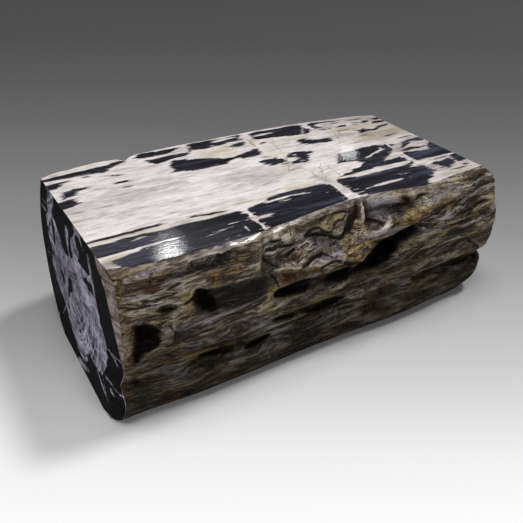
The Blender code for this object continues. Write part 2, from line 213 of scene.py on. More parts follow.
BACK_RELIEF = (  # (X, Z)
    (0.00, -0.262, 0.44, -0.246, 0.016, -0.015),
    (0.44, -0.246, 0.80, -0.268, 0.016, -0.016),
    (0.80, -0.268, 1.16, -0.298, 0.013, -0.015),
    (0.14, -0.128, 0.42, -0.146, 0.022, -0.014),
    (0.16, -0.082, 0.46, -0.092, 0.024, 0.010),
    (0.55, -0.172, 0.80, -0.118, 0.022, -0.016),
    (0.58, -0.118, 0.78, -0.070, 0.022, 0.009),
    (0.60, -0.214, 0.86, -0.200, 0.020, 0.008),
    (0.88, -0.180, 1.06, -0.155, 0.034, 0.011),
    (0.06, -0.190, 0.30, -0.210, 0.024, 0.008),
    (0.24, -0.318, 0.52, -0.334, 0.022, 0.009),
    (0.50, -0.372, 0.74, -0.360, 0.020, -0.009),
    (0.76, -0.340, 1.00, -0.350, 0.022, 0.008),
    (0.198, -0.015, 0.214, -0.100, 0.014, -0.011),
    (0.585, -0.012, 0.570, -0.070, 0.013, -0.009),
    (0.905, -0.012, 0.920, -0.080, 0.013, -0.008),
)  # fmt: skip
WORN_RELIEF = (  # (Y, Z)
    # the notch where the cleft of the front flank comes round the corner, and the one from the back
    (-0.08, -0.302, 0.02, -0.302, 0.014, -0.044),
    (0.02, -0.302, 0.13, -0.290, 0.020, -0.014),
    (0.46, -0.284, 0.64, -0.298, 0.016, -0.022),
    # broad hollows and swellings
    (0.08, -0.120, 0.26, -0.150, 0.028, -0.012),
    (0.10, -0.215, 0.32, -0.205, 0.030, 0.012),
    (0.30, -0.090, 0.46, -0.120, 0.030, 0.010),
    (0.14, -0.360, 0.38, -0.350, 0.030, 0.010),
)  # fmt: skip
GRAIN_HEIGHT = 0.0035
KNOT_HEIGHT = 0.0045
KNOT_FIELD = (0.47, -0.092, 0.13, 0.070)  # X, Z and the two half sizes
WRINKLE_HEIGHT = 0.0013
TOP_FADE = 0.012
FOOT_FADE = 0.024
SAWN_FADE, SAWN_SHARE = 0.045, 0.35


def lattice(i, j, seed):
    """A fixed number from 0 to 1 for each lattice point: the fraction of a large sine."""
    value = np.sin(i * 127.1 + j * 311.7 + seed * 74.7) * 43758.5453
    return value - np.floor(value)


def noise(x, y, seed):
    """Smooth noise from -1 to 1: the lattice's numbers blended by S curves."""
    i, j = np.floor(x), np.floor(y)
    s, t = ramp(0.0, 1.0, x - i), ramp(0.0, 1.0, y - j)
    near = lattice(i, j, seed) * (1 - s) + lattice(i + 1, j, seed) * s
    far = lattice(i, j + 1, seed) * (1 - s) + lattice(i + 1, j + 1, seed) * s
    return 2 * (near * (1 - t) + far * t) - 1


def beside(a, b, a0, b0, a1, b1):
    """How far along a straight line each place lies, from 0 at one end to 1, and how far it is from it."""
    da, db = a1 - a0, b1 - b0
    along = np.clip(((a - a0) * da + (b - b0) * db) / (da * da + db * db), 0.0, 1.0)
    return along, np.hypot(a - a0 - along * da, b - b0 - along * db)


def strokes(table, a, b):
    """Sum of a table's strokes at the places (a, b): each has a bell-shaped section and rounded ends."""
    height = np.zeros(np.broadcast(a, b).shape)
    for *line, half_width, rise in table:
        _, off = beside(a, b, *line)
        height = height + rise * np.exp(-((off / half_width) ** 2))
    return height


def field(a, b, centre_a, centre_b, half_a, half_b):
    """1 inside a rounded oblong and 0 well outside it."""
    return np.exp(-(((a - centre_a) / half_a) ** 4) - ((b - centre_b) / half_b) ** 4)


def fading(z):
    """1 on the flanks, dying away to 0 at the top's edge and at the foot."""
    return ramp(0.0, -TOP_FADE, z) * ramp(-HEIGHT, -HEIGHT + FOOT_FADE, z)


def wrinkles(a, z, seed):
    """Fine creases along the grain: noise folded at zero, so that it has sharp valleys, in three sizes."""
    bend = 0.4 * noise(a * 9.0, z * 30.0, seed)
    creases = 0.0
    for size, along, across in ((1.0, 14.0, 80.0), (0.6, 27.0, 150.0), (0.4, 50.0, 230.0)):
        creases = creases + size * (np.abs(noise(a * along + bend, z * across + 2 * bend, seed)) - 0.35)
    return creases


def relieved(x, y, z, side):
    """Y and Z with the flanks' relief, pushed along the section's outward normal, and the relief itself."""
    dy = np.roll(y, -1, 1) - np.roll(y, 1, 1)
    dz = np.roll(z, -1, 1) - np.roll(z, 1, 1)
    size = np.hypot(dy, dz)
    grain = GRAIN_HEIGHT * (noise(x * 5.0, z * 26.0, 3) + 0.6 * noise(x * 11.0 + 4.0, z * 47.0, 8))
    knotty = field(x, z, *KNOT_FIELD)
    knots = knotty * KNOT_HEIGHT * noise(x * 26.0 + 8 * z, z * 40.0, 12)
    knots = knots + knotty * 0.4 * KNOT_HEIGHT * noise(x * 61.0 - 9 * z, z * 83.0, 14)
    front = strokes(FRONT_RELIEF, x, z) + grain + knots + WRINKLE_HEIGHT * wrinkles(x, z, 21)
    back = strokes(BACK_RELIEF, x, z) + grain + WRINKLE_HEIGHT * wrinkles(x, z, 33)
    fade = fading(z) * (SAWN_SHARE + (1 - SAWN_SHARE) * ramp(-0.02, SAWN_FADE, x))
    height = fade * ((side == "front") * front + (side == "back") * back)
    return y - height * dz / size, z + height * dy / size, height


# ---------------------------------------------------------------------------------------------------
# The two ends. The left one is sawn: a flat cut that leans out towards the foot, with its front corner
# ground round. The right one is a natural break, worn into two lobes with a notch between them.
SAWN_END_PLACE, SAWN_END_SKEW, SAWN_END_LEAN = -0.008, -0.050, 0.100
SAWN_CORNER = ((-HEIGHT, 0.085), (-0.405, 0.060), (-0.335, 0.054), (-0.312, 0.070), (0.000, 0.070))
FRONT_BULGE = 0.030
RIM_HOLD = 24  # the higher, the sooner an end's rings let go of the rim's relief
WORN_CORNER, WORN_CORNER_START = 0.070, -0.120
WORN_PROFILE = (  # (Z, X)
    (-0.438, 1.055), (-0.418, 1.095), (-0.385, 1.140), (-0.345, 1.168), (-0.302, 1.182),
    (-0.245, 1.192), (-0.190, 1.189), (-0.120, 1.166), (-0.060, 1.128), (-0.020, 1.082),
    (0.000, TOP_LENGTH),
)  # fmt: skip


def sawn_end(y, z):
    """X of the sawn end: a leaning plane, turned to X = 0 at its front corner."""
    plane = SAWN_END_PLACE + SAWN_END_SKEW * y + SAWN_END_LEAN * z
    inset = np.clip((y + FRONT_BULGE) / smooth_through(SAWN_CORNER, z), 0.0, 1.0)
    return plane * (1 - (1 - inset) ** 2)


def worn_end(y, z):
    """X of the worn end: its side profile with its relief, drawn in round the two upright corners."""
    front = front_side(TOP_LENGTH, z, smooth_through([(b, a) for a, b in FRONT_PROFILE[::-1]], z))
    back = TOP_BACK_EDGE[-1][1] + smooth_through([(b, a) for a, b in BACK_PROFILE[::-1]], z)
    inset = np.clip(np.minimum(y - front, back - y) / WORN_CORNER, 0.0, 1.0)
    corner = WORN_CORNER * (1 - np.sqrt(1 - (1 - inset) ** 2))
    grain = 2 * GRAIN_HEIGHT * noise(y * 9.0, z * 14.0, 5) + WRINKLE_HEIGHT * wrinkles(y, z, 45)
    relief = fading(z) * (strokes(WORN_RELIEF, y, z) + grain)
    return smooth_through(WORN_PROFILE, z) - corner * ramp(0.0, WORN_CORNER_START, z) + relief


def end_rings(rim, surface, sizes):
    """Rings of an end: the rim shrunk to each size towards the pole, laid on the end's surface."""
    x, y, z = rim
    size = sizes[:, None]
    y_cap, z_cap = POLE[0] + size * (y - POLE[0]), POLE[1] + size * (z - POLE[1])
    # The flanks' relief has moved the rim a little off the surface, so the rings near it follow.
    shift = (x - surface(y, z)) * size**RIM_HOLD
    return np.stack([surface(y_cap, z_cap) + shift, y_cap, z_cap])


def shrinking(rings, crowding):
    """Sizes of an end's rings, from just under 1 down: 1 less the ring's share of them to a power."""
    return 1 - (np.arange(1, rings) / rings) ** crowding


def log_surface():
    """All the rings as an array (XYZ, ring, step), with the relief's height and the side at each point."""
    _, z_ring, _, side = ring()
    start = sawn_end(sections(np.zeros((1, 1)))[0], z_ring)
    end = worn_end(sections(np.full((1, 1), TOP_LENGTH))[0], z_ring)
    share = np.interp(np.linspace(0.0, 1.0, RINGS_ALONG), *RING_SPACING)[:, None]
    x = start + share * (end - start)
    y = sections(x)
    y, z, height = relieved(x, y, np.broadcast_to(z_ring, y.shape), side)
    body = np.stack([x, y, z])
    left = end_rings(body[:, 0], sawn_end, shrinking(SAWN_END_RINGS, SAWN_END_CROWDING))
    right = end_rings(body[:, -1], worn_end, shrinking(WORN_END_RINGS, WORN_END_CROWDING))
    points = np.concatenate([left[:, ::-1], body, right], 1)
    around = np.broadcast_to(side, points.shape[1:]).astype("U5").copy()
    around[: left.shape[1]] = "sawn"
    around[-right.shape[1] :] = "worn"
    heights = np.zeros(points.shape[1:])
    heights[left.shape[1] : -right.shape[1]] = height
    return points, heights, around


# ---------------------------------------------------------------------------------------------------
# The black markings. Silica black as ink fills part of the wood. On the top it lies in long bands along
# the grain, broken across by pale healed cracks. Outlines go round each patch, as (X, Y) on the top,
# (Y, Z) on the sawn end and (X, Z) on the flank. Streaks are (start, end, half width).
TOP_INK = (
    # along the front edge, left to right
    ((-0.060, 0.090), (0.040, 0.089), (0.056, 0.094), (0.100, 0.093), (0.130, 0.087), (0.200, 0.090),
     (0.250, 0.086), (0.330, 0.086), (0.341, 0.079), (0.346, 0.058), (0.338, 0.040), (0.345, 0.018),
     (0.343, -0.040), (0.028, -0.040), (0.022, -0.012), (0.008, 0.018), (0.030, 0.024), (0.060, 0.028),
     (0.086, 0.037), (0.110, 0.038), (0.170, 0.043), (0.100, 0.045), (0.030, 0.043), (-0.060, 0.043)),
    ((0.355, 0.085), (0.372, 0.091), (0.400, 0.096), (0.415, 0.100), (0.425, 0.113), (0.460, 0.117),
     (0.500, 0.118), (0.550, 0.114), (0.585, 0.117), (0.600, 0.108), (0.608, 0.098), (0.607, 0.050),
     (0.603, 0.030), (0.606, 0.000), (0.600, -0.040), (0.352, -0.040), (0.352, 0.020), (0.358, 0.050)),
    ((0.631, 0.100), (0.640, 0.118), (0.660, 0.116), (0.700, 0.105), (0.750, 0.104), (0.800, 0.106),
     (0.850, 0.104), (0.880, 0.110), (0.900, 0.118), (0.896, 0.104), (0.880, 0.098), (0.868, 0.088),
     (0.882, 0.081), (0.910, 0.080), (0.905, 0.063), (0.912, 0.040), (0.890, 0.022), (0.870, 0.010),
     (0.852, 0.000), (0.840, -0.040), (0.634, -0.040), (0.636, 0.000), (0.634, 0.050)),
    ((0.655, 0.126), (0.680, 0.136), (0.700, 0.138), (0.714, 0.150), (0.750, 0.154), (0.766, 0.163),
     (0.776, 0.170), (0.762, 0.180), (0.752, 0.190), (0.730, 0.197), (0.709, 0.200), (0.720, 0.220),
     (0.733, 0.240), (0.745, 0.254), (0.770, 0.257), (0.800, 0.256), (0.840, 0.262), (0.860, 0.255),
     (0.876, 0.262), (0.892, 0.250), (0.912, 0.242), (0.914, 0.212), (0.904, 0.199), (0.888, 0.194),
     (0.872, 0.178), (0.850, 0.169), (0.834, 0.155), (0.860, 0.152), (0.892, 0.156), (0.895, 0.140),
     (0.902, 0.126), (0.870, 0.127), (0.800, 0.128), (0.720, 0.126), (0.690, 0.124)),
    # the bluish patches of the front right corner
    ((0.914, 0.111), (0.940, 0.113), (0.970, 0.110), (1.000, 0.110), (1.060, 0.108), (1.060, 0.205),
     (1.045, 0.200), (1.030, 0.190), (1.016, 0.176), (1.010, 0.160), (0.995, 0.161), (0.975, 0.168),
     (0.950, 0.172), (0.930, 0.176), (0.915, 0.172), (0.905, 0.165), (0.912, 0.150), (0.918, 0.130)),
    ((0.915, 0.185), (0.935, 0.190), (0.950, 0.200), (0.975, 0.198), (1.000, 0.186), (1.020, 0.188),
     (1.015, 0.180), (0.990, 0.178), (0.965, 0.182), (0.940, 0.180)),
    ((0.926, 0.204), (0.955, 0.214), (0.960, 0.226), (0.975, 0.238), (1.000, 0.247), (1.050, 0.248),
     (1.050, 0.222), (1.035, 0.219), (1.020, 0.228), (1.000, 0.230), (0.985, 0.220), (0.965, 0.211),
     (0.945, 0.204)),
    ((0.905, 0.252), (0.926, 0.246), (0.936, 0.230), (0.925, 0.228), (0.915, 0.239)),
    ((0.934, 0.076), (0.950, 0.082), (0.972, 0.080), (0.990, 0.084), (1.006, 0.087), (1.014, 0.066),
     (0.996, 0.050), (0.976, 0.040), (0.956, 0.034), (0.946, 0.050)),
    ((1.012, 0.055), (1.015, 0.075), (1.022, 0.092), (1.040, 0.101), (1.060, 0.100), (1.060, 0.054),
     (1.030, 0.052)),
    # the back edge, left to right
    ((-0.060, 0.464), (0.000, 0.472), (0.040, 0.475), (0.080, 0.477), (0.110, 0.482), (0.135, 0.482),
     (0.155, 0.490), (0.178, 0.494), (0.192, 0.492), (0.185, 0.482), (0.168, 0.472), (0.155, 0.463),
     (0.140, 0.456), (0.133, 0.445), (0.120, 0.441), (0.090, 0.444), (0.030, 0.449), (-0.060, 0.452)),
    ((0.224, 0.494), (0.232, 0.513), (0.250, 0.516), (0.270, 0.513), (0.285, 0.517), (0.291, 0.510),
     (0.302, 0.513), (0.330, 0.510), (0.370, 0.513), (0.352, 0.505), (0.336, 0.496), (0.330, 0.487),
     (0.310, 0.481), (0.290, 0.483), (0.266, 0.481), (0.240, 0.480)),
    ((0.243, 0.466), (0.262, 0.462), (0.300, 0.466), (0.340, 0.465), (0.372, 0.462), (0.364, 0.450),
     (0.355, 0.443), (0.330, 0.443), (0.300, 0.437), (0.280, 0.430), (0.262, 0.428), (0.250, 0.440)),
    ((0.388, 0.516), (0.410, 0.520), (0.460, 0.519), (0.500, 0.515), (0.530, 0.517), (0.560, 0.520),
     (0.568, 0.512), (0.552, 0.500), (0.540, 0.495), (0.552, 0.487), (0.562, 0.482), (0.540, 0.477),
     (0.505, 0.477), (0.478, 0.468), (0.460, 0.473), (0.445, 0.466), (0.420, 0.464), (0.400, 0.470),
     (0.383, 0.474), (0.366, 0.448), (0.378, 0.480)),
    ((0.592, 0.513), (0.620, 0.517), (0.660, 0.512), (0.740, 0.513), (0.766, 0.508), (0.778, 0.500),
     (0.773, 0.485), (0.785, 0.466), (0.790, 0.455), (0.780, 0.445), (0.765, 0.435), (0.750, 0.430),
     (0.730, 0.435), (0.700, 0.438), (0.675, 0.445), (0.640, 0.452), (0.600, 0.455), (0.587, 0.462)),
    ((0.799, 0.500), (0.820, 0.506), (0.850, 0.499), (0.880, 0.493), (0.926, 0.480), (0.900, 0.481),
     (0.860, 0.487), (0.830, 0.486), (0.815, 0.480), (0.830, 0.462), (0.834, 0.453), (0.812, 0.454),
     (0.800, 0.462)),
    # inwards from the left end
    ((-0.060, 0.424), (-0.010, 0.430), (0.010, 0.432), (0.032, 0.434), (0.020, 0.425), (0.006, 0.418),
     (0.005, 0.405), (-0.006, 0.397), (-0.060, 0.398)),
    ((-0.006, 0.366), (0.010, 0.372), (0.028, 0.380), (0.046, 0.377), (0.062, 0.375), (0.052, 0.366),
     (0.038, 0.360), (0.028, 0.350), (0.014, 0.340), (0.000, 0.334), (-0.016, 0.330), (-0.006, 0.342),
     (-0.014, 0.350), (-0.004, 0.356)),
    ((-0.060, 0.318), (-0.014, 0.322), (0.008, 0.327), (0.024, 0.322), (0.012, 0.314), (0.020, 0.306),
     (0.016, 0.296), (0.002, 0.286), (-0.018, 0.282), (-0.060, 0.284)),
    # the large crescent behind the middle, and the spots in front of it
    ((0.300, 0.427), (0.316, 0.430), (0.336, 0.425), (0.360, 0.412), (0.390, 0.403), (0.412, 0.396),
     (0.430, 0.385), (0.450, 0.377), (0.470, 0.375), (0.500, 0.380), (0.520, 0.388), (0.540, 0.397),
     (0.554, 0.397), (0.556, 0.370), (0.548, 0.355), (0.530, 0.350), (0.488, 0.351), (0.480, 0.360),
     (0.465, 0.362), (0.450, 0.357), (0.443, 0.348), (0.430, 0.337), (0.405, 0.342), (0.360, 0.339),
     (0.330, 0.343), (0.308, 0.350), (0.276, 0.355), (0.290, 0.366), (0.293, 0.380), (0.288, 0.400)),
    ((0.495, 0.448), (0.510, 0.457), (0.530, 0.460), (0.554, 0.462), (0.548, 0.450), (0.540, 0.437),
     (0.520, 0.434), (0.502, 0.440)),
    ((0.510, 0.302), (0.520, 0.313), (0.540, 0.316), (0.560, 0.312), (0.576, 0.318), (0.574, 0.308),
     (0.585, 0.298), (0.583, 0.283), (0.575, 0.272), (0.560, 0.275), (0.548, 0.270), (0.532, 0.273),
     (0.538, 0.280), (0.518, 0.287), (0.527, 0.295)),
    ((0.601, 0.301), (0.610, 0.315), (0.625, 0.325), (0.645, 0.325), (0.670, 0.318), (0.686, 0.310),
     (0.695, 0.302), (0.685, 0.295), (0.668, 0.295), (0.662, 0.283), (0.655, 0.270), (0.648, 0.255),
     (0.630, 0.249), (0.610, 0.252), (0.592, 0.256), (0.596, 0.266), (0.612, 0.270), (0.622, 0.276),
     (0.627, 0.286), (0.612, 0.296)),
    ((0.687, 0.385), (0.700, 0.396), (0.720, 0.401), (0.733, 0.397), (0.728, 0.388), (0.745, 0.380),
     (0.765, 0.372), (0.796, 0.371), (0.800, 0.355), (0.797, 0.343), (0.770, 0.343), (0.750, 0.350),
     (0.730, 0.350), (0.710, 0.358), (0.695, 0.370)),
    ((0.905, 0.386), (0.925, 0.380), (0.940, 0.388), (0.946, 0.376), (0.965, 0.370), (0.985, 0.378),
     (1.000, 0.385), (1.042, 0.387), (1.042, 0.378), (1.010, 0.372), (0.985, 0.363), (0.960, 0.357),
     (0.930, 0.360), (0.905, 0.356), (0.915, 0.370)),
    ((0.855, 0.431), (0.875, 0.438), (0.896, 0.446), (0.911, 0.440), (0.906, 0.428), (0.885, 0.429)),
    ((0.968, 0.434), (0.985, 0.446), (1.002, 0.440), (0.992, 0.428), (0.975, 0.424)),
    ((1.000, 0.411), (1.010, 0.420), (1.022, 0.425), (1.060, 0.412), (1.040, 0.406), (1.010, 0.405)),
    ((1.020, 0.440), (1.030, 0.450), (1.060, 0.448), (1.050, 0.436), (1.030, 0.433)),
)  # fmt: skip
TOP_INK_STREAKS = (
    (-0.040, 0.110, 0.165, 0.111, 0.0050), (0.080, 0.113, 0.160, 0.112, 0.0050),
    (0.216, 0.115, 0.262, 0.106, 0.0030), (0.245, 0.106, 0.320, 0.100, 0.0045),
    (0.098, 0.423, 0.132, 0.411, 0.0015), (0.120, 0.417, 0.162, 0.401, 0.0030),
    (0.116, 0.363, 0.168, 0.361, 0.0055), (0.136, 0.330, 0.166, 0.328, 0.0040),
    (0.058, 0.357, 0.095, 0.350, 0.0010), (-0.020, 0.252, 0.022, 0.253, 0.0012),
    (0.066, 0.252, 0.084, 0.252, 0.0016), (0.108, 0.254, 0.132, 0.253, 0.0014),
    (0.064, 0.436, 0.080, 0.433, 0.0030), (0.806, 0.446, 0.836, 0.428, 0.0030),
    (0.840, 0.440, 0.846, 0.426, 0.0030), (0.936, 0.446, 0.960, 0.440, 0.0030),
    (0.924, 0.428, 0.968, 0.426, 0.0025), (0.836, 0.386, 0.852, 0.388, 0.0030),
    (1.010, 0.033, 1.036, 0.033, 0.0040), (0.580, 0.422, 0.606, 0.428, 0.0040),
    (0.536, 0.336, 0.562, 0.330, 0.0030), (0.558, 0.222, 0.582, 0.221, 0.0018),
    (0.582, 0.224, 0.600, 0.218, 0.0014), (0.446, 0.180, 0.500, 0.183, 0.0012),
    (0.330, 0.119, 0.395, 0.119, 0.0008), (0.560, 0.263, 0.590, 0.266, 0.0018),
    (0.945, 0.096, 1.030, 0.098, 0.0030), (0.905, 0.060, 0.934, 0.058, 0.0020),
    (0.955, 0.022, 1.010, 0.020, 0.0030), (0.930, 0.046, 0.950, 0.043, 0.0020),
    (0.860, 0.400, 0.905, 0.405, 0.0022), (0.880, 0.340, 0.925, 0.338, 0.0018),
    (0.950, 0.300, 1.005, 0.305, 0.0022), (0.970, 0.270, 1.040, 0.268, 0.0026),
    (0.845, 0.300, 0.872, 0.302, 0.0016), (0.800, 0.322, 0.832, 0.318, 0.0014),
    (0.850, 0.470, 0.930, 0.466, 0.0028), (0.930, 0.470, 1.000, 0.462, 0.0030),
)  # fmt: skip
# Pale streaks and healed cracks that lie inside the black.
TOP_PALE_STREAKS = (
    (0.074, 0.079, 0.102, 0.080, 0.0030), (0.290, 0.041, 0.330, 0.040, 0.0016),
    (0.210, 0.016, 0.272, 0.025, 0.0014), (0.284, 0.026, 0.312, 0.028, 0.0010),
    (0.258, -0.010, 0.284, -0.009, 0.0008), (0.311, 0.016, 0.312, -0.006, 0.0013),
    (0.100, 0.043, 0.176, 0.044, 0.0012), (0.338, 0.032, 0.360, 0.046, 0.0060),
    (0.350, 0.036, 0.402, 0.036, 0.0060), (0.404, 0.094, 0.500, 0.097, 0.0045),
    (0.480, 0.097, 0.532, 0.088, 0.0030), (0.446, 0.083, 0.472, 0.082, 0.0024),
    (0.568, 0.069, 0.578, 0.067, 0.0014), (0.644, 0.046, 0.664, 0.042, 0.0014),
    (0.664, 0.038, 0.700, 0.041, 0.0026), (0.690, 0.041, 0.808, 0.040, 0.0060),
    (0.596, 0.027, 0.656, 0.027, 0.0026), (0.592, 0.012, 0.662, 0.012, 0.0030),
    (0.808, 0.063, 0.852, 0.063, 0.0010), (0.820, 0.038, 0.838, 0.038, 0.0012),
    (0.880, 0.028, 0.896, 0.027, 0.0016), (0.792, 0.190, 0.840, 0.206, 0.0026),
    (0.836, 0.205, 0.884, 0.226, 0.0030), (0.874, 0.222, 0.888, 0.236, 0.0024),
    (0.930, 0.173, 1.012, 0.164, 0.0030), (0.458, 0.501, 0.545, 0.507, 0.0065),
    (0.446, 0.478, 0.462, 0.470, 0.0030), (0.586, 0.487, 0.668, 0.487, 0.0055),
    (0.736, 0.426, 0.774, 0.482, 0.0012), (0.625, 0.308, 0.638, 0.306, 0.0035),
    (0.620, 0.263, 0.636, 0.262, 0.0025), (0.285, 0.516, 0.297, 0.508, 0.0030),
)  # fmt: skip
# Hairline cracks of the pale wood, as (X, Y) paths.
TOP_CRACKS = (
    (0.0, (0.631, 0.434), (0.619, 0.396), (0.611, 0.348), (0.591, 0.285), (0.578, 0.254), (0.558, 0.220),
     (0.578, 0.224), (0.599, 0.220), (0.608, 0.201), (0.605, 0.163), (0.630, 0.175), (0.648, 0.202),
     (0.664, 0.231)),
    (0.0, (0.642, 0.197), (0.629, 0.161), (0.616, 0.133)),
    (0.0, (0.669, 0.193), (0.664, 0.164), (0.664, 0.136)),
    (0.0, (0.568, 0.476), (0.563, 0.442), (0.559, 0.410)),
    (0.0, (0.835, 0.395), (0.824, 0.360), (0.812, 0.330)),
)  # fmt: skip
# Straight-sided healed cracks across the black: half the width, then the path as (X, Y) points.
TOP_HEALED = (
    (0.0105, (0.620, 0.125), (0.617, 0.070), (0.611, 0.028), (0.606, -0.050)),
    (0.0040, (0.600, 0.008), (0.655, 0.012)),
    (0.0009, (0.353, 0.100), (0.352, 0.054), (0.351, 0.034), (0.347, 0.000), (0.345, -0.050)),
    (0.0030, (0.344, 0.033), (0.360, 0.034)),
    (0.0016, (0.312, 0.019), (0.314, -0.005)),
    (0.0040, (0.919, 0.250), (0.919, 0.196), (0.914, 0.182), (0.909, 0.143), (0.912, 0.100)),
    (0.0035, (0.914, 0.190), (0.948, 0.198), (0.988, 0.212)),
    (0.0030, (0.798, 0.193), (0.851, 0.214), (0.887, 0.221)),
)  # fmt: skip

END_HEART = (  # the pale middle of the sawn end
    (0.160, 0.010), (0.150, -0.020), (0.125, -0.050), (0.100, -0.075), (0.078, -0.100), (0.064, -0.130),
    (0.050, -0.170), (0.036, -0.200), (0.028, -0.240), (0.030, -0.280), (0.040, -0.300), (0.060, -0.320),
    (0.090, -0.335), (0.120, -0.335), (0.150, -0.325), (0.165, -0.340), (0.175, -0.380), (0.200, -0.395),
    (0.250, -0.395), (0.290, -0.375), (0.320, -0.340), (0.335, -0.310), (0.360, -0.298), (0.400, -0.285),
    (0.430, -0.260), (0.450, -0.230), (0.440, -0.200), (0.435, -0.185), (0.460, -0.160), (0.462, -0.120),
    (0.465, -0.100), (0.450, -0.070), (0.435, -0.040), (0.425, -0.010), (0.440, 0.010),
)  # fmt: skip
END_INK = (  # black patches inside it
    ((0.070, -0.120), (0.090, -0.095), (0.110, -0.095), (0.140, -0.105), (0.166, -0.115), (0.120, -0.122)),
    ((0.098, -0.072), (0.120, -0.050), (0.140, -0.035), (0.170, -0.020), (0.190, -0.020), (0.200, -0.032),
     (0.195, -0.050), (0.180, -0.060), (0.180, -0.080), (0.195, -0.090), (0.150, -0.088), (0.120, -0.080)),
    ((0.200, -0.016), (0.225, 0.010), (0.370, 0.010), (0.372, -0.030), (0.390, -0.040), (0.400, -0.060),
     (0.370, -0.075), (0.340, -0.095), (0.310, -0.120), (0.280, -0.125), (0.265, -0.115), (0.276, -0.090),
     (0.285, -0.060), (0.276, -0.034), (0.262, -0.030), (0.255, -0.060), (0.265, -0.100), (0.250, -0.115),
     (0.230, -0.100), (0.240, -0.080), (0.235, -0.050), (0.215, -0.035)),
    ((0.385, -0.100), (0.400, -0.070), (0.411, -0.090), (0.408, -0.120), (0.412, -0.150), (0.395, -0.152)),
    ((0.262, -0.178), (0.280, -0.184), (0.296, -0.200), (0.296, -0.220), (0.306, -0.240), (0.306, -0.256),
     (0.294, -0.250), (0.284, -0.230), (0.264, -0.222), (0.257, -0.200)),
    ((0.332, -0.206), (0.352, -0.204), (0.378, -0.194), (0.370, -0.212), (0.355, -0.226), (0.345, -0.246),
     (0.334, -0.236)),
)  # fmt: skip
END_PALE_STREAKS = (
    (0.115, -0.006, 0.069, -0.117, 0.0022), (0.069, -0.117, 0.036, -0.219, 0.0020),
    (0.036, -0.219, -0.034, -0.252, 0.0018), (0.264, -0.415, 0.162, -0.408, 0.0050),
    (0.065, -0.314, 0.018, -0.402, 0.0016), (0.043, -0.296, -0.040, -0.353, 0.0016),
    (0.160, -0.404, 0.270, -0.432, 0.0130), (0.335, -0.300, 0.372, -0.352, 0.0040),
    (0.368, -0.350, 0.442, -0.402, 0.0030), (0.040, -0.304, 0.010, -0.322, 0.0030),
    (0.012, -0.320, -0.002, -0.352, 0.0022), (0.030, -0.375, 0.100, -0.340, 0.0050),
    (-0.004, -0.262, 0.022, -0.214, 0.0026), (0.450, -0.215, 0.505, -0.225, 0.0024),
    (0.452, -0.156, 0.500, -0.150, 0.0040), (0.450, -0.080, 0.520, -0.086, 0.0050),
    (0.445, -0.060, 0.500, -0.064, 0.0030), (0.055, -0.160, 0.120, -0.020, 0.0060),
    (0.330, -0.360, 0.352, -0.420, 0.0040),
)  # fmt: skip
END_RIND = (  # the brown bark strip along its front corner
    (-0.080, 0.010), (0.070, 0.010), (0.052, -0.022), (0.030, -0.035), (0.012, -0.060), (0.003, -0.110),
    (-0.004, -0.160), (-0.011, -0.210), (-0.016, -0.262), (-0.020, -0.296), (-0.080, -0.300),
)  # fmt: skip

# On the flank it lies in pits. Thin dark seams and thin pale crests wind through the knots: each is half
# its width, then its path as (X, Z) points.
FLANK_PITS = (
    ((0.166, -0.088), (0.180, -0.088), (0.199, -0.106), (0.204, -0.128), (0.216, -0.149), (0.204, -0.159),
     (0.180, -0.149), (0.166, -0.122)),
    ((0.030, -0.142), (0.047, -0.147), (0.061, -0.152), (0.076, -0.164), (0.064, -0.168), (0.072, -0.184),
     (0.069, -0.204), (0.053, -0.217), (0.036, -0.229), (0.022, -0.243), (0.010, -0.251), (0.017, -0.221),
     (0.024, -0.190), (0.027, -0.161)),
    ((0.372, -0.185), (0.389, -0.173), (0.415, -0.169), (0.452, -0.171), (0.474, -0.177), (0.459, -0.183),
     (0.428, -0.183), (0.472, -0.194), (0.460, -0.202), (0.429, -0.199), (0.393, -0.197)),
    ((0.529, -0.197), (0.548, -0.189), (0.566, -0.183), (0.599, -0.185), (0.609, -0.197), (0.602, -0.213),
     (0.569, -0.212)),
    ((0.614, -0.211), (0.638, -0.193), (0.669, -0.181), (0.693, -0.166), (0.716, -0.148), (0.738, -0.126),
     (0.756, -0.108), (0.783, -0.107), (0.803, -0.111), (0.803, -0.127), (0.780, -0.138), (0.757, -0.145),
     (0.750, -0.162), (0.734, -0.180), (0.709, -0.192), (0.678, -0.199), (0.646, -0.205)),
    ((0.293, -0.321), (0.322, -0.315), (0.354, -0.313), (0.365, -0.320), (0.341, -0.328), (0.312, -0.328)),
    ((0.173, -0.308), (0.204, -0.300), (0.237, -0.306), (0.261, -0.310), (0.256, -0.322), (0.225, -0.316),
     (0.198, -0.314)),
    ((0.450, -0.268), (0.488, -0.271), (0.532, -0.268), (0.585, -0.271), (0.574, -0.282), (0.536, -0.289),
     (0.491, -0.287)),
    ((0.076, -0.111), (0.085, -0.102), (0.098, -0.104), (0.113, -0.113), (0.102, -0.117), (0.089, -0.118)),
    ((0.364, -0.258), (0.400, -0.260), (0.444, -0.273), (0.421, -0.277), (0.384, -0.274)),
    ((-0.003, -0.310), (0.012, -0.308), (0.020, -0.314), (0.007, -0.322)),
)  # fmt: skip
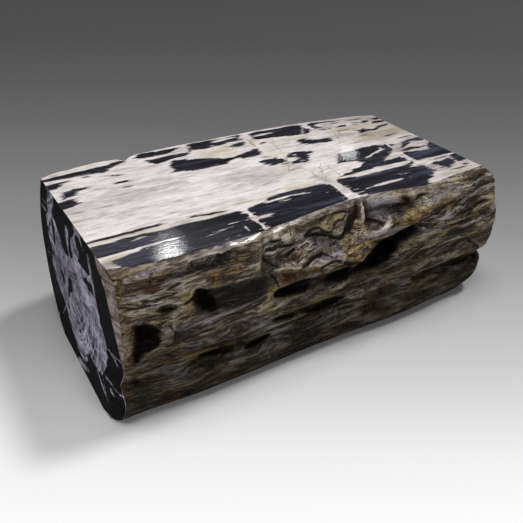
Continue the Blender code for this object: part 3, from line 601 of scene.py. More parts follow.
FLANK_SEAMS = (
    (0.0037, (0.614, -0.005), (0.607, -0.020), (0.601, -0.037)),
    (0.0059, (0.601, -0.037), (0.593, -0.051), (0.591, -0.067), (0.574, -0.078), (0.558, -0.085)),
    (0.0051, (0.558, -0.085), (0.538, -0.078), (0.528, -0.066), (0.508, -0.060), (0.479, -0.050),
     (0.457, -0.042), (0.447, -0.039)),
    (0.0035, (0.447, -0.039), (0.453, -0.033), (0.469, -0.030), (0.487, -0.031), (0.507, -0.046),
     (0.527, -0.055)),
    (0.0027, (0.469, -0.044), (0.491, -0.043), (0.511, -0.053)),
    (0.0021, (0.491, -0.016), (0.512, -0.011), (0.541, -0.012), (0.564, -0.015), (0.582, -0.021),
     (0.594, -0.022)),
    (0.0028, (0.526, -0.050), (0.529, -0.034), (0.544, -0.029), (0.563, -0.032), (0.573, -0.024)),
    (0.0021, (0.564, -0.045), (0.573, -0.035)),
    (0.0029, (0.637, -0.011), (0.631, -0.028), (0.639, -0.049), (0.646, -0.061), (0.668, -0.064),
     (0.688, -0.074)),
    (0.0019, (0.326, -0.050), (0.333, -0.066), (0.351, -0.087), (0.368, -0.094)),
    (0.0015, (0.403, -0.008), (0.403, -0.024), (0.412, -0.039), (0.400, -0.048)),
    (0.0033, (0.349, -0.022), (0.371, -0.023)),
    (0.0039, (0.357, -0.035), (0.383, -0.042), (0.406, -0.045)),
    (0.0043, (0.338, -0.041), (0.349, -0.040), (0.360, -0.041)),
    (0.005, (0.396, -0.077), (0.416, -0.068)),
    (0.0046, (0.441, -0.120), (0.472, -0.117), (0.503, -0.111)),
    (0.004, (0.506, -0.150), (0.525, -0.142), (0.547, -0.141), (0.564, -0.150)),
    (0.0053, (0.577, -0.157), (0.598, -0.172), (0.623, -0.171)),
    (0.0026, (0.422, -0.101), (0.442, -0.097)), (0.0025, (0.434, -0.063), (0.458, -0.064)),
    (0.0026, (0.463, -0.091), (0.482, -0.086)), (0.0026, (0.503, -0.108), (0.533, -0.125)),
    (0.0027, (0.549, -0.165), (0.581, -0.167)),
    (0.0042, (0.747, -0.016), (0.760, -0.025), (0.753, -0.038)),
    (0.0034, (0.722, -0.038), (0.748, -0.037)),
    (0.0038, (0.785, -0.023), (0.798, -0.013), (0.814, -0.011)),
    (0.0026, (0.708, -0.087), (0.718, -0.077)), (0.0026, (0.739, -0.058), (0.731, -0.040)),
    (0.0022, (0.008, -0.076), (0.042, -0.073), (0.083, -0.074), (0.117, -0.072)),
    (0.0023, (0.006, -0.092), (0.033, -0.090), (0.061, -0.086)),
    (0.0019, (0.007, -0.053), (0.037, -0.054)),
    (0.0044, (0.138, -0.108), (0.147, -0.106), (0.159, -0.108)),
    (0.0025, (0.087, -0.114), (0.115, -0.111)),
    (0.0026, (0.096, -0.151), (0.104, -0.169), (0.113, -0.188), (0.110, -0.210)),
    (0.0023, (0.100, -0.058), (0.109, -0.051), (0.127, -0.049)),
    (0.0025, (0.283, -0.182), (0.307, -0.176), (0.329, -0.176)),
    (0.0025, (0.302, -0.187), (0.329, -0.182), (0.340, -0.171)),
    (0.0033, (0.385, -0.124), (0.404, -0.137)),
    (0.0023, (0.350, -0.109), (0.365, -0.130), (0.370, -0.150)),
    (0.0031, (0.968, -0.113), (1.010, -0.113), (1.051, -0.105), (1.074, -0.101)),
    (0.0025, (0.835, -0.079), (0.896, -0.086)),
    (0.0028, (0.805, -0.093), (0.815, -0.083), (0.843, -0.081)),
    (0.0026, (0.587, -0.320), (0.628, -0.321)),
    (0.0037, (0.862, -0.280), (0.951, -0.296), (1.054, -0.307)),
    (0.0025, (0.950, -0.321), (0.993, -0.322)),
    (0.0026, (-0.016, -0.345), (0.015, -0.376), (0.044, -0.374)),
    (0.0026, (0.098, -0.221), (0.146, -0.213), (0.205, -0.210)),
    (0.0027, (0.553, -0.357), (0.603, -0.350)), (0.0041, (1.051, -0.232), (1.102, -0.270)),
    (0.0029, (0.271, -0.193), (0.313, -0.185)), (0.0025, (0.457, -0.322), (0.495, -0.324)),
)  # fmt: skip
FLANK_CRESTS = (
    (0.0023, (0.330, -0.023), (0.336, -0.018), (0.353, -0.017), (0.368, -0.011)),
    (0.0023, (0.332, -0.039), (0.340, -0.032), (0.360, -0.036), (0.368, -0.042), (0.360, -0.049),
     (0.341, -0.050), (0.332, -0.039)),
    (0.0028, (0.387, -0.068), (0.407, -0.062)), (0.0025, (0.403, -0.082), (0.423, -0.073)),
    (0.0033, (0.411, -0.114), (0.444, -0.121), (0.475, -0.115)),
    (0.0027, (0.466, -0.126), (0.491, -0.121), (0.518, -0.134), (0.499, -0.139), (0.470, -0.131)),
    (0.0026, (0.523, -0.121), (0.549, -0.121), (0.571, -0.126)),
    (0.0027, (0.531, -0.141), (0.553, -0.140), (0.574, -0.153)),
    (0.003, (0.506, -0.150), (0.546, -0.164), (0.581, -0.161)),
    (0.003, (0.366, -0.107), (0.381, -0.105), (0.405, -0.111)),
    (0.0024, (0.427, -0.056), (0.449, -0.058), (0.464, -0.063)),
    (0.0025, (0.450, -0.075), (0.476, -0.087), (0.495, -0.091)),
    (0.0028, (0.502, -0.315), (0.541, -0.314), (0.568, -0.313)),
    (0.0025, (0.588, -0.314), (0.641, -0.316)),
    (0.0039, (0.592, -0.289), (0.613, -0.278), (0.635, -0.276), (0.654, -0.272)),
    (0.0034, (0.599, -0.263), (0.615, -0.258), (0.650, -0.267), (0.660, -0.282), (0.644, -0.295),
     (0.617, -0.296)),
    (0.0051, (0.660, -0.302), (0.674, -0.283), (0.697, -0.280)),
    (0.0025, (0.308, -0.310), (0.360, -0.310), (0.433, -0.313)),
    (0.003, (0.026, -0.305), (0.049, -0.293), (0.083, -0.297)),
    (0.0026, (0.100, -0.158), (0.119, -0.145), (0.147, -0.141)),
    (0.0028, (0.155, -0.185), (0.185, -0.176)), (0.0028, (0.283, -0.185), (0.329, -0.176)),
    (0.0035, (0.858, -0.271), (0.946, -0.285), (1.050, -0.301)),
    (0.0033, (0.802, -0.205), (0.845, -0.188), (0.908, -0.186)),
    (0.0026, (0.697, -0.079), (0.711, -0.064)), (0.0024, (0.578, -0.311), (0.573, -0.346)),
    (0.0027, (0.132, -0.163), (0.146, -0.162)), (0.0037, (0.580, -0.281), (0.561, -0.296)),
)  # fmt: skip

INK_FRAY = 0.0045  # how far noise drags the markings' ends along the grain
INK_SWAY = 0.0012  # and how far it moves them across it
END_WOBBLE = 0.004  # the same for the sawn end, both ways
TINY = 1e-9


def inside(outline, a, b):
    """Distance inside a closed outline, negative outside: to its nearest side, signed by ray crossings."""
    nearest = np.full(a.shape, np.inf)
    within = np.zeros(a.shape, bool)
    for (a0, b0), (a1, b1) in zip(outline, outline[1:] + outline[:1]):
        nearest = np.minimum(nearest, beside(a, b, a0, b0, a1, b1)[1])
        crossing = (b0 > b) != (b1 > b)
        within ^= crossing & (a < a0 + (b - b0) * (a1 - a0) / (b1 - b0 or TINY))
    return np.where(within, nearest, -nearest)


def streak(table, a, b):
    """Distance inside the nearest streak, negative outside: each is a stroke that tapers to both ends."""
    best = np.full(a.shape, -1.0)
    for *line, half_width in table:
        along, off = beside(a, b, *line)
        best = np.maximum(best, half_width * (1 - np.abs(2 * along - 1) ** 3) - off)
    return best


def seams(paths, a, b):
    """Distance inside the nearest seam, negative outside: each path is led by its half width."""
    best = np.full(a.shape, -1.0)
    for half_width, *path in paths:
        for start, end in zip(path, path[1:]):
            best = np.maximum(best, half_width - beside(a, b, *start, *end)[1])
    return best


def top_ink(x, y):
    """Black on the top, as a distance inside it."""
    fray = INK_FRAY * noise(x * 14.0, y * 110.0, 51) + 0.4 * INK_FRAY * noise(x * 40.0, y * 230.0, 52)
    sway = INK_SWAY * noise(x * 60.0, y * 40.0, 53)
    a, b = x + fray, y + sway
    ink = np.max([inside(outline, a, b) for outline in TOP_INK], 0)
    ink = np.maximum(ink, streak(TOP_INK_STREAKS, a, b))
    ink = np.minimum(ink, -streak(TOP_PALE_STREAKS, x + 0.5 * fray, b))
    return np.minimum(ink, -seams(TOP_HEALED, x + sway, b))


def end_ink(y, z):
    """Black on the sawn end, as a distance inside it: all that is outside the heart, and patches in it."""
    a = y + END_WOBBLE * noise(y * 60.0, z * 60.0, 54)
    b = z + END_WOBBLE * noise(y * 60.0, z * 60.0, 55)
    ink = np.maximum(-inside(END_HEART, a, b), np.max([inside(o, a, b) for o in END_INK], 0))
    return np.minimum(ink, -streak(END_PALE_STREAKS, a, b))


def flank_pits(x, z):
    """The flank's black pits, as a distance inside them."""
    a = x + 0.004 * noise(x * 30.0, z * 90.0, 56)
    b = z + 0.002 * noise(x * 45.0, z * 45.0, 57)
    return np.max([inside(outline, a, b) for outline in FLANK_PITS], 0)


# ---------------------------------------------------------------------------------------------------
# The tints: iron and manganese have stained the stone ochre, rust, lavender and olive. Each stain is a
# soft stroke, as the relief's are, whose last number is how strong it is. Strokes of the same kind also
# lay painted shade in the flank's hollows and a painted highlight on its polished spots.
TOP_OCHRE = (
    (0.420, 0.425, 0.480, 0.420, 0.030, 0.75), (0.562, 0.424, 0.570, 0.460, 0.008, 1.00),
    (0.820, 0.400, 1.030, 0.400, 0.022, 0.60), (0.860, 0.330, 1.040, 0.340, 0.020, 0.65),
    (0.880, 0.295, 1.020, 0.300, 0.014, 0.45), (0.836, 0.160, 0.885, 0.166, 0.010, 0.70),
    (0.500, 0.130, 0.560, 0.124, 0.014, 0.60), (0.640, 0.415, 0.780, 0.418, 0.016, 0.40),
    (0.640, 0.118, 0.880, 0.115, 0.010, 0.35), (0.880, 0.050, 1.040, 0.020, 0.030, 0.45),
    (-0.010, 0.060, 0.060, -0.010, 0.016, 0.70), (0.000, 0.100, 0.300, 0.098, 0.012, 0.25),
    (0.350, 0.118, 0.420, 0.120, 0.014, 0.25), (0.600, 0.420, 0.560, 0.200, 0.025, 0.25),
    (0.630, 0.170, 0.640, 0.150, 0.020, 0.30),
)  # fmt: skip
TOP_GREY = (  # duller, greyer wood
    (0.000, 0.006, 0.050, -0.010, 0.014, 1.0),
    (0.000, 0.280, 0.450, 0.270, 0.050, 0.50), (0.830, 0.370, 0.900, 0.350, 0.040, 0.70),
    (0.820, 0.465, 1.040, 0.450, 0.036, 1.00), (0.900, 0.070, 0.960, 0.020, 0.034, 1.00),
    (0.930, 0.320, 1.050, 0.320, 0.040, 0.70), (0.600, 0.160, 0.640, 0.060, 0.014, 0.80),
    (0.900, 0.215, 0.930, 0.200, 0.020, 0.90), (0.000, 0.020, 0.100, 0.000, 0.016, 0.60),
    (0.660, 0.280, 0.700, 0.270, 0.014, 0.60), (0.540, 0.350, 0.600, 0.240, 0.016, 0.40),
    (0.100, 0.330, 0.250, 0.320, 0.020, 0.40), (0.450, 0.220, 0.540, 0.230, 0.030, 0.40),
    (0.930, 0.140, 1.040, 0.160, 0.040, 0.90), (0.950, 0.236, 1.040, 0.238, 0.020, 0.90),
)  # fmt: skip
FLANK_OCHRE = (
    (0.019, -0.007, 0.066, -0.004, 0.002, 1.2), (0.057, -0.001, 0.111, -0.000, 0.0013, 0.8),
    (-0.005, -0.002, -0.003, -0.030, 0.003, 0.9), (-0.004, -0.035, 0.002, -0.075, 0.0049, 1.0),
    (0.003, -0.081, 0.012, -0.185, 0.0080, 0.4), (0.129, -0.093, 0.143, -0.082, 0.0069, 1.0),
    (0.143, -0.082, 0.163, -0.098, 0.007, 0.9), (0.163, -0.104, 0.151, -0.128, 0.0073, 0.9),
    (0.147, -0.129, 0.129, -0.107, 0.0073, 1.0), (0.201, -0.060, 0.208, -0.084, 0.0136, 1.2),
    (0.100, -0.158, 0.147, -0.141, 0.0041, 1.0), (0.237, -0.056, 0.286, -0.063, 0.0054, 1.2),
    (0.026, -0.305, 0.049, -0.289, 0.0058, 0.9), (0.049, -0.289, 0.080, -0.295, 0.0061, 1.2),
    (0.085, -0.282, 0.172, -0.282, 0.0089, 1.0), (0.172, -0.282, 0.261, -0.286, 0.0071, 1.0),
    (0.153, -0.366, 0.169, -0.364, 0.0057, 1.1), (0.162, -0.315, 0.192, -0.320, 0.0052, 1.0),
    (0.004, -0.268, 0.085, -0.271, 0.0045, 0.7), (0.110, -0.226, 0.182, -0.206, 0.0042, 0.8),
    (0.182, -0.206, 0.271, -0.209, 0.0042, 0.8), (0.266, -0.309, 0.264, -0.325, 0.0067, 0.9),
    (0.375, -0.108, 0.412, -0.132, 0.0068, 0.9), (0.412, -0.132, 0.411, -0.155, 0.0062, 0.8),
    (0.415, -0.127, 0.434, -0.143, 0.0092, 1.2), (0.371, -0.136, 0.356, -0.166, 0.0086, 1.0),
    (0.356, -0.166, 0.341, -0.190, 0.0088, 1.0), (0.341, -0.194, 0.360, -0.218, 0.0085, 0.7),
    (0.477, -0.142, 0.499, -0.142, 0.0099, 1.4), (0.533, -0.160, 0.574, -0.159, 0.0053, 1.0),
    (0.420, -0.075, 0.445, -0.087, 0.0043, 0.9), (0.588, -0.060, 0.645, -0.072, 0.0121, 1.0),
    (0.586, -0.079, 0.576, -0.110, 0.0109, 0.8), (0.580, -0.114, 0.630, -0.114, 0.0048, 1.1),
    (0.630, -0.114, 0.737, -0.119, 0.0053, 1.0), (0.588, -0.131, 0.609, -0.158, 0.0083, 1.5),
    (0.609, -0.158, 0.640, -0.182, 0.0092, 1.4), (0.617, -0.175, 0.607, -0.209, 0.0051, 0.9),
    (0.600, -0.126, 0.663, -0.129, 0.0132, 0.7), (0.722, -0.006, 0.761, -0.006, 0.0058, 1.5),
    (0.761, -0.053, 0.778, -0.067, 0.0134, 1.5), (0.774, -0.019, 0.794, -0.027, 0.0053, 0.9),
    (0.790, -0.055, 0.918, -0.062, 0.0145, 0.8), (0.742, -0.079, 0.783, -0.080, 0.0099, 0.7),
    (0.914, -0.007, 0.965, -0.010, 0.0038, 1.1), (0.443, -0.070, 0.476, -0.087, 0.005, 0.8),
    (0.608, -0.255, 0.641, -0.257, 0.0057, 0.8), (0.490, -0.027, 0.523, -0.043, 0.0046, 0.8),
    (1.066, -0.102, 1.106, -0.122, 0.0106, 0.6), (0.257, -0.108, 0.275, -0.103, 0.0044, 0.5),
)  # fmt: skip
FLANK_OLIVE = (
    (0.416, -0.243, 0.484, -0.248, 0.0128, 1.0), (0.484, -0.248, 0.561, -0.248, 0.0147, 1.2),
    (0.343, -0.217, 0.416, -0.243, 0.0079, 0.9), (0.500, -0.020, 0.563, -0.021, 0.0071, 1.3),
    (0.510, -0.039, 0.522, -0.027, 0.0079, 1.2), (1.025, -0.182, 1.099, -0.176, 0.0183, 0.8),
    (0.751, -0.169, 0.792, -0.146, 0.0083, 0.7), (0.792, -0.146, 0.940, -0.153, 0.0091, 0.6),
    (0.230, -0.031, 0.291, -0.040, 0.008, 0.6), (0.134, -0.044, 0.177, -0.036, 0.0049, 0.7),
    (0.379, -0.163, 0.470, -0.166, 0.0093, 0.6), (0.857, -0.152, 1.037, -0.192, 0.0109, 0.5),
    (0.134, -0.274, 0.184, -0.323, 0.0111, 0.5),
)  # fmt: skip
FLANK_RUST = (
    (-0.006, -0.006, -0.006, -0.039, 0.0034, 1.2), (-0.005, -0.039, -0.002, -0.090, 0.0031, 0.9),
    (0.064, -0.048, 0.083, -0.045, 0.0093, 1.0), (0.008, -0.039, 0.065, -0.038, 0.0088, 0.5),
    (0.136, -0.104, 0.156, -0.107, 0.0086, 1.3), (0.190, -0.061, 0.196, -0.064, 0.0066, 1.4),
    (0.123, -0.150, 0.142, -0.151, 0.0076, 1.1), (0.266, -0.058, 0.286, -0.063, 0.0034, 0.9),
    (0.409, -0.084, 0.427, -0.091, 0.008, 1.8), (0.382, -0.123, 0.407, -0.142, 0.0115, 1.6),
    (0.444, -0.118, 0.500, -0.113, 0.0075, 1.2), (0.393, -0.106, 0.414, -0.121, 0.0052, 1.0),
    (0.487, -0.149, 0.507, -0.159, 0.0069, 1.2), (0.613, -0.007, 0.607, -0.036, 0.0075, 1.5),
    (0.639, -0.013, 0.640, -0.060, 0.0074, 1.5), (0.650, -0.062, 0.684, -0.073, 0.0058, 1.3),
    (0.454, -0.041, 0.512, -0.064, 0.0063, 1.2), (0.558, -0.082, 0.591, -0.067, 0.0079, 1.2),
    (0.591, -0.029, 0.594, -0.059, 0.0076, 1.2), (0.619, -0.161, 0.634, -0.153, 0.0076, 1.1),
    (0.747, -0.016, 0.770, -0.035, 0.0123, 1.4), (0.725, -0.039, 0.759, -0.036, 0.0049, 1.3),
    (0.794, -0.061, 0.817, -0.066, 0.0054, 0.8), (0.016, -0.271, 0.088, -0.268, 0.0045, 0.9),
    (0.182, -0.196, 0.271, -0.202, 0.0057, 0.8), (0.208, -0.224, 0.273, -0.233, 0.0061, 0.8),
    (0.587, -0.317, 0.631, -0.322, 0.0067, 1.3), (0.173, -0.311, 0.255, -0.330, 0.0033, 0.7),
    (0.693, -0.264, 0.763, -0.298, 0.0109, 0.9), (0.782, -0.269, 0.829, -0.275, 0.0078, 0.8),
    (0.408, -0.154, 0.426, -0.152, 0.0062, 1.0), (0.820, -0.180, 0.874, -0.181, 0.0064, 0.7),
    (0.298, -0.204, 0.352, -0.186, 0.0049, 0.7), (0.554, -0.372, 0.621, -0.363, 0.0113, 0.5),
    (1.019, -0.087, 1.069, -0.087, 0.0069, 0.8), (0.117, -0.240, 0.183, -0.244, 0.0106, 0.6),
)  # fmt: skip
FLANK_LAVENDER = (
    (0.050, -0.012, 0.102, -0.008, 0.0027, 1.0), (0.085, -0.041, 0.132, -0.041, 0.0037, 0.7),
    (0.171, -0.071, 0.199, -0.070, 0.0081, 0.8), (0.093, -0.162, 0.094, -0.206, 0.0153, 0.8),
    (0.122, -0.183, 0.207, -0.182, 0.0133, 0.9), (0.207, -0.182, 0.296, -0.172, 0.0102, 0.7),
    (0.024, -0.064, 0.115, -0.063, 0.0064, 0.5), (0.337, 0.002, 0.443, -0.001, 0.0022, 0.8),
    (0.443, -0.001, 0.603, -0.002, 0.0038, 0.9), (0.211, -0.001, 0.290, -0.001, 0.0033, 1.0),
    (0.431, -0.060, 0.502, -0.096, 0.0108, 0.8), (0.429, -0.030, 0.447, -0.028, 0.0085, 0.7),
    (0.513, -0.121, 0.565, -0.124, 0.0127, 1.0), (0.418, -0.047, 0.560, -0.105, 0.0072, 0.6),
    (0.338, -0.052, 0.401, -0.054, 0.0082, 0.6), (0.653, -0.017, 0.722, -0.038, 0.0207, 1.2),
    (0.647, -0.040, 0.714, -0.048, 0.0177, 1.1), (0.629, -0.102, 0.745, -0.097, 0.0067, 1.2),
    (0.695, -0.009, 0.749, -0.019, 0.0066, 0.8), (0.658, -0.242, 0.698, -0.241, 0.01, 1.0),
    (0.119, -0.331, 0.174, -0.339, 0.008, 1.0), (0.086, -0.307, 0.098, -0.334, 0.0071, 0.6),
    (0.281, -0.241, 0.352, -0.252, 0.012, 0.7), (0.424, -0.257, 0.487, -0.267, 0.0057, 0.9),
    (0.473, -0.129, 0.518, -0.134, 0.0076, 0.9), (0.542, -0.044, 0.556, -0.056, 0.014, 0.5),
    (0.822, -0.024, 0.878, -0.027, 0.0108, 0.6), (0.826, -0.008, 0.904, -0.009, 0.0059, 0.6),
    (0.908, -0.014, 1.024, -0.017, 0.0094, 0.5), (0.308, -0.307, 0.427, -0.311, 0.0047, 0.7),
    (0.798, -0.092, 0.922, -0.100, 0.0128, 0.5), (0.490, -0.313, 0.568, -0.316, 0.005, 0.8),
    (0.920, -0.220, 0.961, -0.220, 0.01, 0.4), (0.007, -0.021, 0.066, -0.031, 0.0056, 0.4),
    (0.073, -0.005, 0.118, -0.005, 0.0019, 0.7), (0.234, -0.080, 0.324, -0.096, 0.0107, 0.5),
)  # fmt: skip
FLANK_LIGHT = (  # pale quartz
    (-0.003, 0.011, 0.005, -0.006, 0.0021, 0.8), (0.021, -0.018, 0.062, -0.017, 0.0039, 1.3),
    (0.108, -0.002, 0.108, -0.008, 0.0014, 1.0), (0.084, -0.053, 0.138, -0.053, 0.0032, 0.9),
    (0.122, -0.061, 0.194, -0.065, 0.0079, 0.7), (0.002, -0.060, 0.084, -0.058, 0.0041, 0.8),
    (0.084, -0.058, 0.131, -0.061, 0.0032, 0.7), (0.113, -0.124, 0.105, -0.151, 0.0045, 1.0),
    (0.093, -0.165, 0.094, -0.206, 0.0177, 1.3), (0.082, -0.217, 0.017, -0.247, 0.007, 1.0),
    (0.083, -0.306, 0.097, -0.339, 0.0064, 0.8), (0.267, -0.097, 0.324, -0.090, 0.0127, 0.7),
    (0.353, -0.004, 0.437, -0.005, 0.0043, 0.8), (0.383, -0.022, 0.403, -0.021, 0.0074, 1.1),
    (0.398, -0.103, 0.440, -0.099, 0.0088, 1.0), (0.628, -0.004, 0.619, -0.030, 0.006, 1.3),
    (0.619, -0.030, 0.628, -0.057, 0.0056, 1.1), (0.695, -0.009, 0.746, -0.018, 0.0054, 0.8),
    (0.485, -0.273, 0.514, -0.275, 0.006, 1.0), (0.363, -0.247, 0.392, -0.246, 0.006, 0.9),
    (0.806, -0.026, 0.821, -0.040, 0.0072, 0.9), (0.873, 0.021, 1.044, 0.008, 0.0102, 0.9),
    (0.920, -0.025, 0.983, -0.026, 0.006, 0.7), (0.871, -0.196, 0.892, -0.187, 0.0076, 0.8),
    (0.933, -0.313, 0.967, -0.314, 0.0039, 0.9), (0.835, -0.282, 0.854, -0.281, 0.0054, 0.9),
    (0.271, -0.060, 0.322, -0.062, 0.0075, 0.6), (0.600, -0.061, 0.658, -0.084, 0.0086, 0.5),
    (0.207, -0.182, 0.294, -0.174, 0.0079, 0.8), (0.182, -0.184, 0.232, -0.173, 0.0063, 0.6),
    (1.099, -0.289, 1.126, -0.327, 0.0048, 0.7), (0.497, -0.022, 0.535, -0.023, 0.0061, 0.6),
    (0.726, -0.257, 0.756, -0.279, 0.0062, 0.6), (1.031, -0.007, 1.075, -0.027, 0.0064, 0.6),
)  # fmt: skip
FLANK_PAINTED_SHADE = (  # painted shade in the hollows and furrows
    (0.098, -0.017, 0.173, -0.027, 0.0063, 0.7), (0.173, -0.027, 0.207, -0.033, 0.0061, 0.8),
    (0.008, -0.041, 0.085, -0.038, 0.0077, 0.6), (0.097, -0.052, 0.127, -0.052, 0.0045, 0.7),
    (0.201, -0.116, 0.294, -0.122, 0.0224, 1.1), (0.294, -0.122, 0.360, -0.131, 0.0172, 1.1),
    (0.214, -0.154, 0.328, -0.157, 0.0194, 0.9), (0.175, -0.114, 0.199, -0.130, 0.0222, 1.0),
    (0.330, -0.011, 0.328, -0.064, 0.0063, 1.0), (0.328, -0.064, 0.368, -0.094, 0.0093, 1.0),
    (0.349, -0.020, 0.374, -0.026, 0.0059, 1.0), (0.360, -0.034, 0.406, -0.045, 0.0052, 1.0),
    (0.338, -0.038, 0.357, -0.040, 0.0059, 0.9), (0.396, -0.077, 0.416, -0.068, 0.005, 1.2),
    (0.447, -0.036, 0.530, -0.059, 0.0083, 0.9), (0.532, -0.073, 0.589, -0.074, 0.0107, 0.9),
    (0.574, -0.048, 0.592, -0.042, 0.0104, 0.7), (0.441, -0.120, 0.503, -0.114, 0.006, 0.9),
    (0.506, -0.150, 0.531, -0.141, 0.0061, 1.0), (0.531, -0.141, 0.560, -0.146, 0.0053, 0.9),
    (0.577, -0.157, 0.604, -0.171, 0.0068, 1.1), (0.604, -0.171, 0.636, -0.175, 0.0061, 0.8),
    (0.535, -0.197, 0.599, -0.194, 0.0135, 1.2), (0.381, -0.182, 0.471, -0.185, 0.0135, 1.2),
    (0.411, -0.198, 0.569, -0.215, 0.0125, 0.5), (0.627, -0.212, 0.711, -0.177, 0.0162, 1.0),
    (0.709, -0.164, 0.796, -0.122, 0.0161, 1.0), (0.646, -0.178, 0.739, -0.153, 0.0117, 0.8),
    (0.358, -0.255, 0.451, -0.272, 0.0135, 1.0), (0.449, -0.261, 0.585, -0.271, 0.0107, 1.1),
    (0.521, -0.333, 0.604, -0.331, 0.0075, 0.4), (0.296, -0.320, 0.359, -0.318, 0.0082, 1.0),
    (0.173, -0.304, 0.260, -0.315, 0.0075, 1.0), (0.098, -0.245, 0.170, -0.245, 0.0133, 0.7),
    (0.146, -0.233, 0.210, -0.232, 0.0113, 1.0), (0.210, -0.232, 0.332, -0.222, 0.0114, 0.6),
    (-0.005, -0.243, 0.098, -0.245, 0.0101, 0.5), (0.002, -0.312, 0.016, -0.312, 0.0058, 1.0),
    (0.005, -0.374, 0.044, -0.377, 0.0086, 0.7), (0.018, -0.351, 0.091, -0.351, 0.009, 0.3),
    (0.424, -0.339, 0.586, -0.344, 0.009, 0.5), (0.276, -0.341, 0.455, -0.345, 0.0086, 0.4),
    (0.747, -0.014, 0.767, -0.037, 0.0102, 0.8), (0.785, -0.018, 0.805, -0.011, 0.004, 1.0),
    (1.052, -0.134, 1.107, -0.148, 0.009, 0.8), (1.064, -0.232, 1.131, -0.238, 0.0156, 0.7),
    (0.945, -0.107, 1.074, -0.101, 0.0061, 0.9), (0.813, -0.126, 0.935, -0.139, 0.0063, 0.5),
    (0.656, -0.064, 0.687, -0.071, 0.0051, 1.0), (0.878, -0.000, 0.997, -0.002, 0.0017, 0.5),
    (0.979, -0.003, 1.079, -0.008, 0.003, 0.7), (0.635, -0.014, 0.637, -0.059, 0.0061, 0.8),
    (0.613, -0.007, 0.607, -0.036, 0.0057, 0.8), (0.457, -0.322, 0.495, -0.324, 0.0058, 0.6),
    (1.017, -0.253, 1.090, -0.262, 0.0077, 1.0), (0.917, -0.336, 1.092, -0.345, 0.0103, 0.5),
    (0.650, -0.293, 0.683, -0.290, 0.007, 0.5), (0.700, -0.218, 0.803, -0.222, 0.0108, 0.5),
    (0.654, -0.341, 0.876, -0.343, 0.0096, 0.4),
)  # fmt: skip
FLANK_SHEEN = (  # polished best of all, with a faint painted highlight
    (0.199, -0.007, 0.227, -0.009, 0.0027, 1.0), (0.227, -0.009, 0.246, -0.007, 0.0026, 1.0),
    (0.246, -0.007, 0.257, -0.002, 0.0023, 1.0), (0.256, -0.003, 0.276, -0.008, 0.0033, 1.1),
    (0.277, -0.007, 0.299, -0.005, 0.0024, 1.0), (0.300, -0.004, 0.328, -0.002, 0.003, 1.1),
    (0.362, -0.003, 0.394, -0.002, 0.0033, 1.1), (0.394, -0.002, 0.445, -0.004, 0.0024, 1.0),
    (0.666, -0.094, 0.686, -0.088, 0.0074, 1.2), (0.686, -0.088, 0.711, -0.064, 0.0052, 1.0),
    (0.769, -0.003, 0.775, -0.005, 0.0041, 1.3), (1.046, -0.016, 1.070, -0.021, 0.004, 1.0),
    (0.692, -0.009, 0.741, -0.018, 0.0032, 0.3),
)  # fmt: skip
FLANK_KNOTS = (  # where the grain curls into knots
    (0.377, -0.082, 0.576, -0.097, 0.065, 1.00), (0.134, -0.095, 0.172, -0.104, 0.030, 0.80),
    (0.610, -0.052, 0.629, -0.151, 0.035, 0.80), (0.773, -0.032, 0.861, -0.036, 0.035, 0.70),
    (0.621, -0.284, 0.764, -0.285, 0.020, 0.60), (0.347, -0.051, 0.356, -0.089, 0.030, 0.80),
    (0.191, -0.071, 0.210, -0.075, 0.020, 0.60),
)  # fmt: skip
KNOTS = (  # X, Z, size, and how strongly it parts the grain
    (0.155, -0.108, 0.030, 0.9), (0.093, -0.110, 0.016, 0.8), (0.120, -0.056, 0.020, 0.8),
    (0.205, -0.082, 0.022, 0.9), (0.555, -0.055, 0.045, 0.9), (0.350, -0.045, 0.024, 0.8),
    (0.405, -0.078, 0.022, 0.8), (0.400, -0.130, 0.026, 0.9), (0.480, -0.130, 0.030, -0.6),
    (0.630, -0.150, 0.040, 0.8), (0.775, -0.063, 0.022, 0.9), (0.700, -0.045, 0.050, 0.6),
    (0.345, -0.185, 0.032, 0.9), (0.632, -0.280, 0.024, 0.9), (0.690, -0.262, 0.024, 0.7),
    (0.880, -0.050, 0.040, 0.6), (0.960, -0.130, 0.050, -0.5), (0.150, -0.330, 0.026, 0.8),
    (0.500, -0.340, 0.040, -0.6), (0.800, -0.230, 0.050, 0.5),
)  # fmt: skip
FLANK_STAINS_SHADE_AND_SHEEN = {
    "ochre": FLANK_OCHRE, "olive": FLANK_OLIVE, "rust": FLANK_RUST, "lavender": FLANK_LAVENDER,
    "light": FLANK_LIGHT, "dusk": FLANK_PAINTED_SHADE, "sheen": FLANK_SHEEN, "knots": FLANK_KNOTS,
}  # fmt: skip
BACK_OCHRE = (
    (0.200, -0.060, 0.420, -0.080, 0.020, 0.70), (0.560, -0.100, 0.760, -0.080, 0.020, 0.80),
    (0.400, -0.270, 0.700, -0.290, 0.016, 0.60), (0.900, -0.100, 1.050, -0.120, 0.030, 0.50),
)  # fmt: skip
BACK_RUST = (
    (0.140, -0.130, 0.420, -0.148, 0.012, 0.90), (0.550, -0.176, 0.800, -0.122, 0.012, 0.90),
    (0.000, -0.264, 0.440, -0.248, 0.008, 0.90), (0.440, -0.248, 1.100, -0.290, 0.008, 0.90),
)  # fmt: skip


OUTSIDE = -0.05  # a black marking's distance where a side has none
SPILL = 0.02  # how far down the flanks the top's markings run on
FRAY_SPAN = 0.003  # the reach along the grain over which an edge's steepness is taken
CRACK_WANDER = 0.004
END_STRIP_OCHRE = 0.4


def soft(table, a, b):
    """Strength of a stain, limited to 1."""
    return np.clip(strokes(table, a, b), 0.0, 1.0)


def grain_lines(x, z):
    """A height that is the same all along a line of the grain: the lines part to pass round the knots."""
    lines = z + 0.006 * noise(x * 6.0, z * 9.0, 61) + 0.003 * noise(x * 15.0, z * 20.0, 62)
    for a, b, size, push in KNOTS:
        near = np.exp(-(((x - a) / size) ** 2) - ((z - b) / (0.7 * size)) ** 2)
        lines = lines - push * (z - b) * near
    return lines


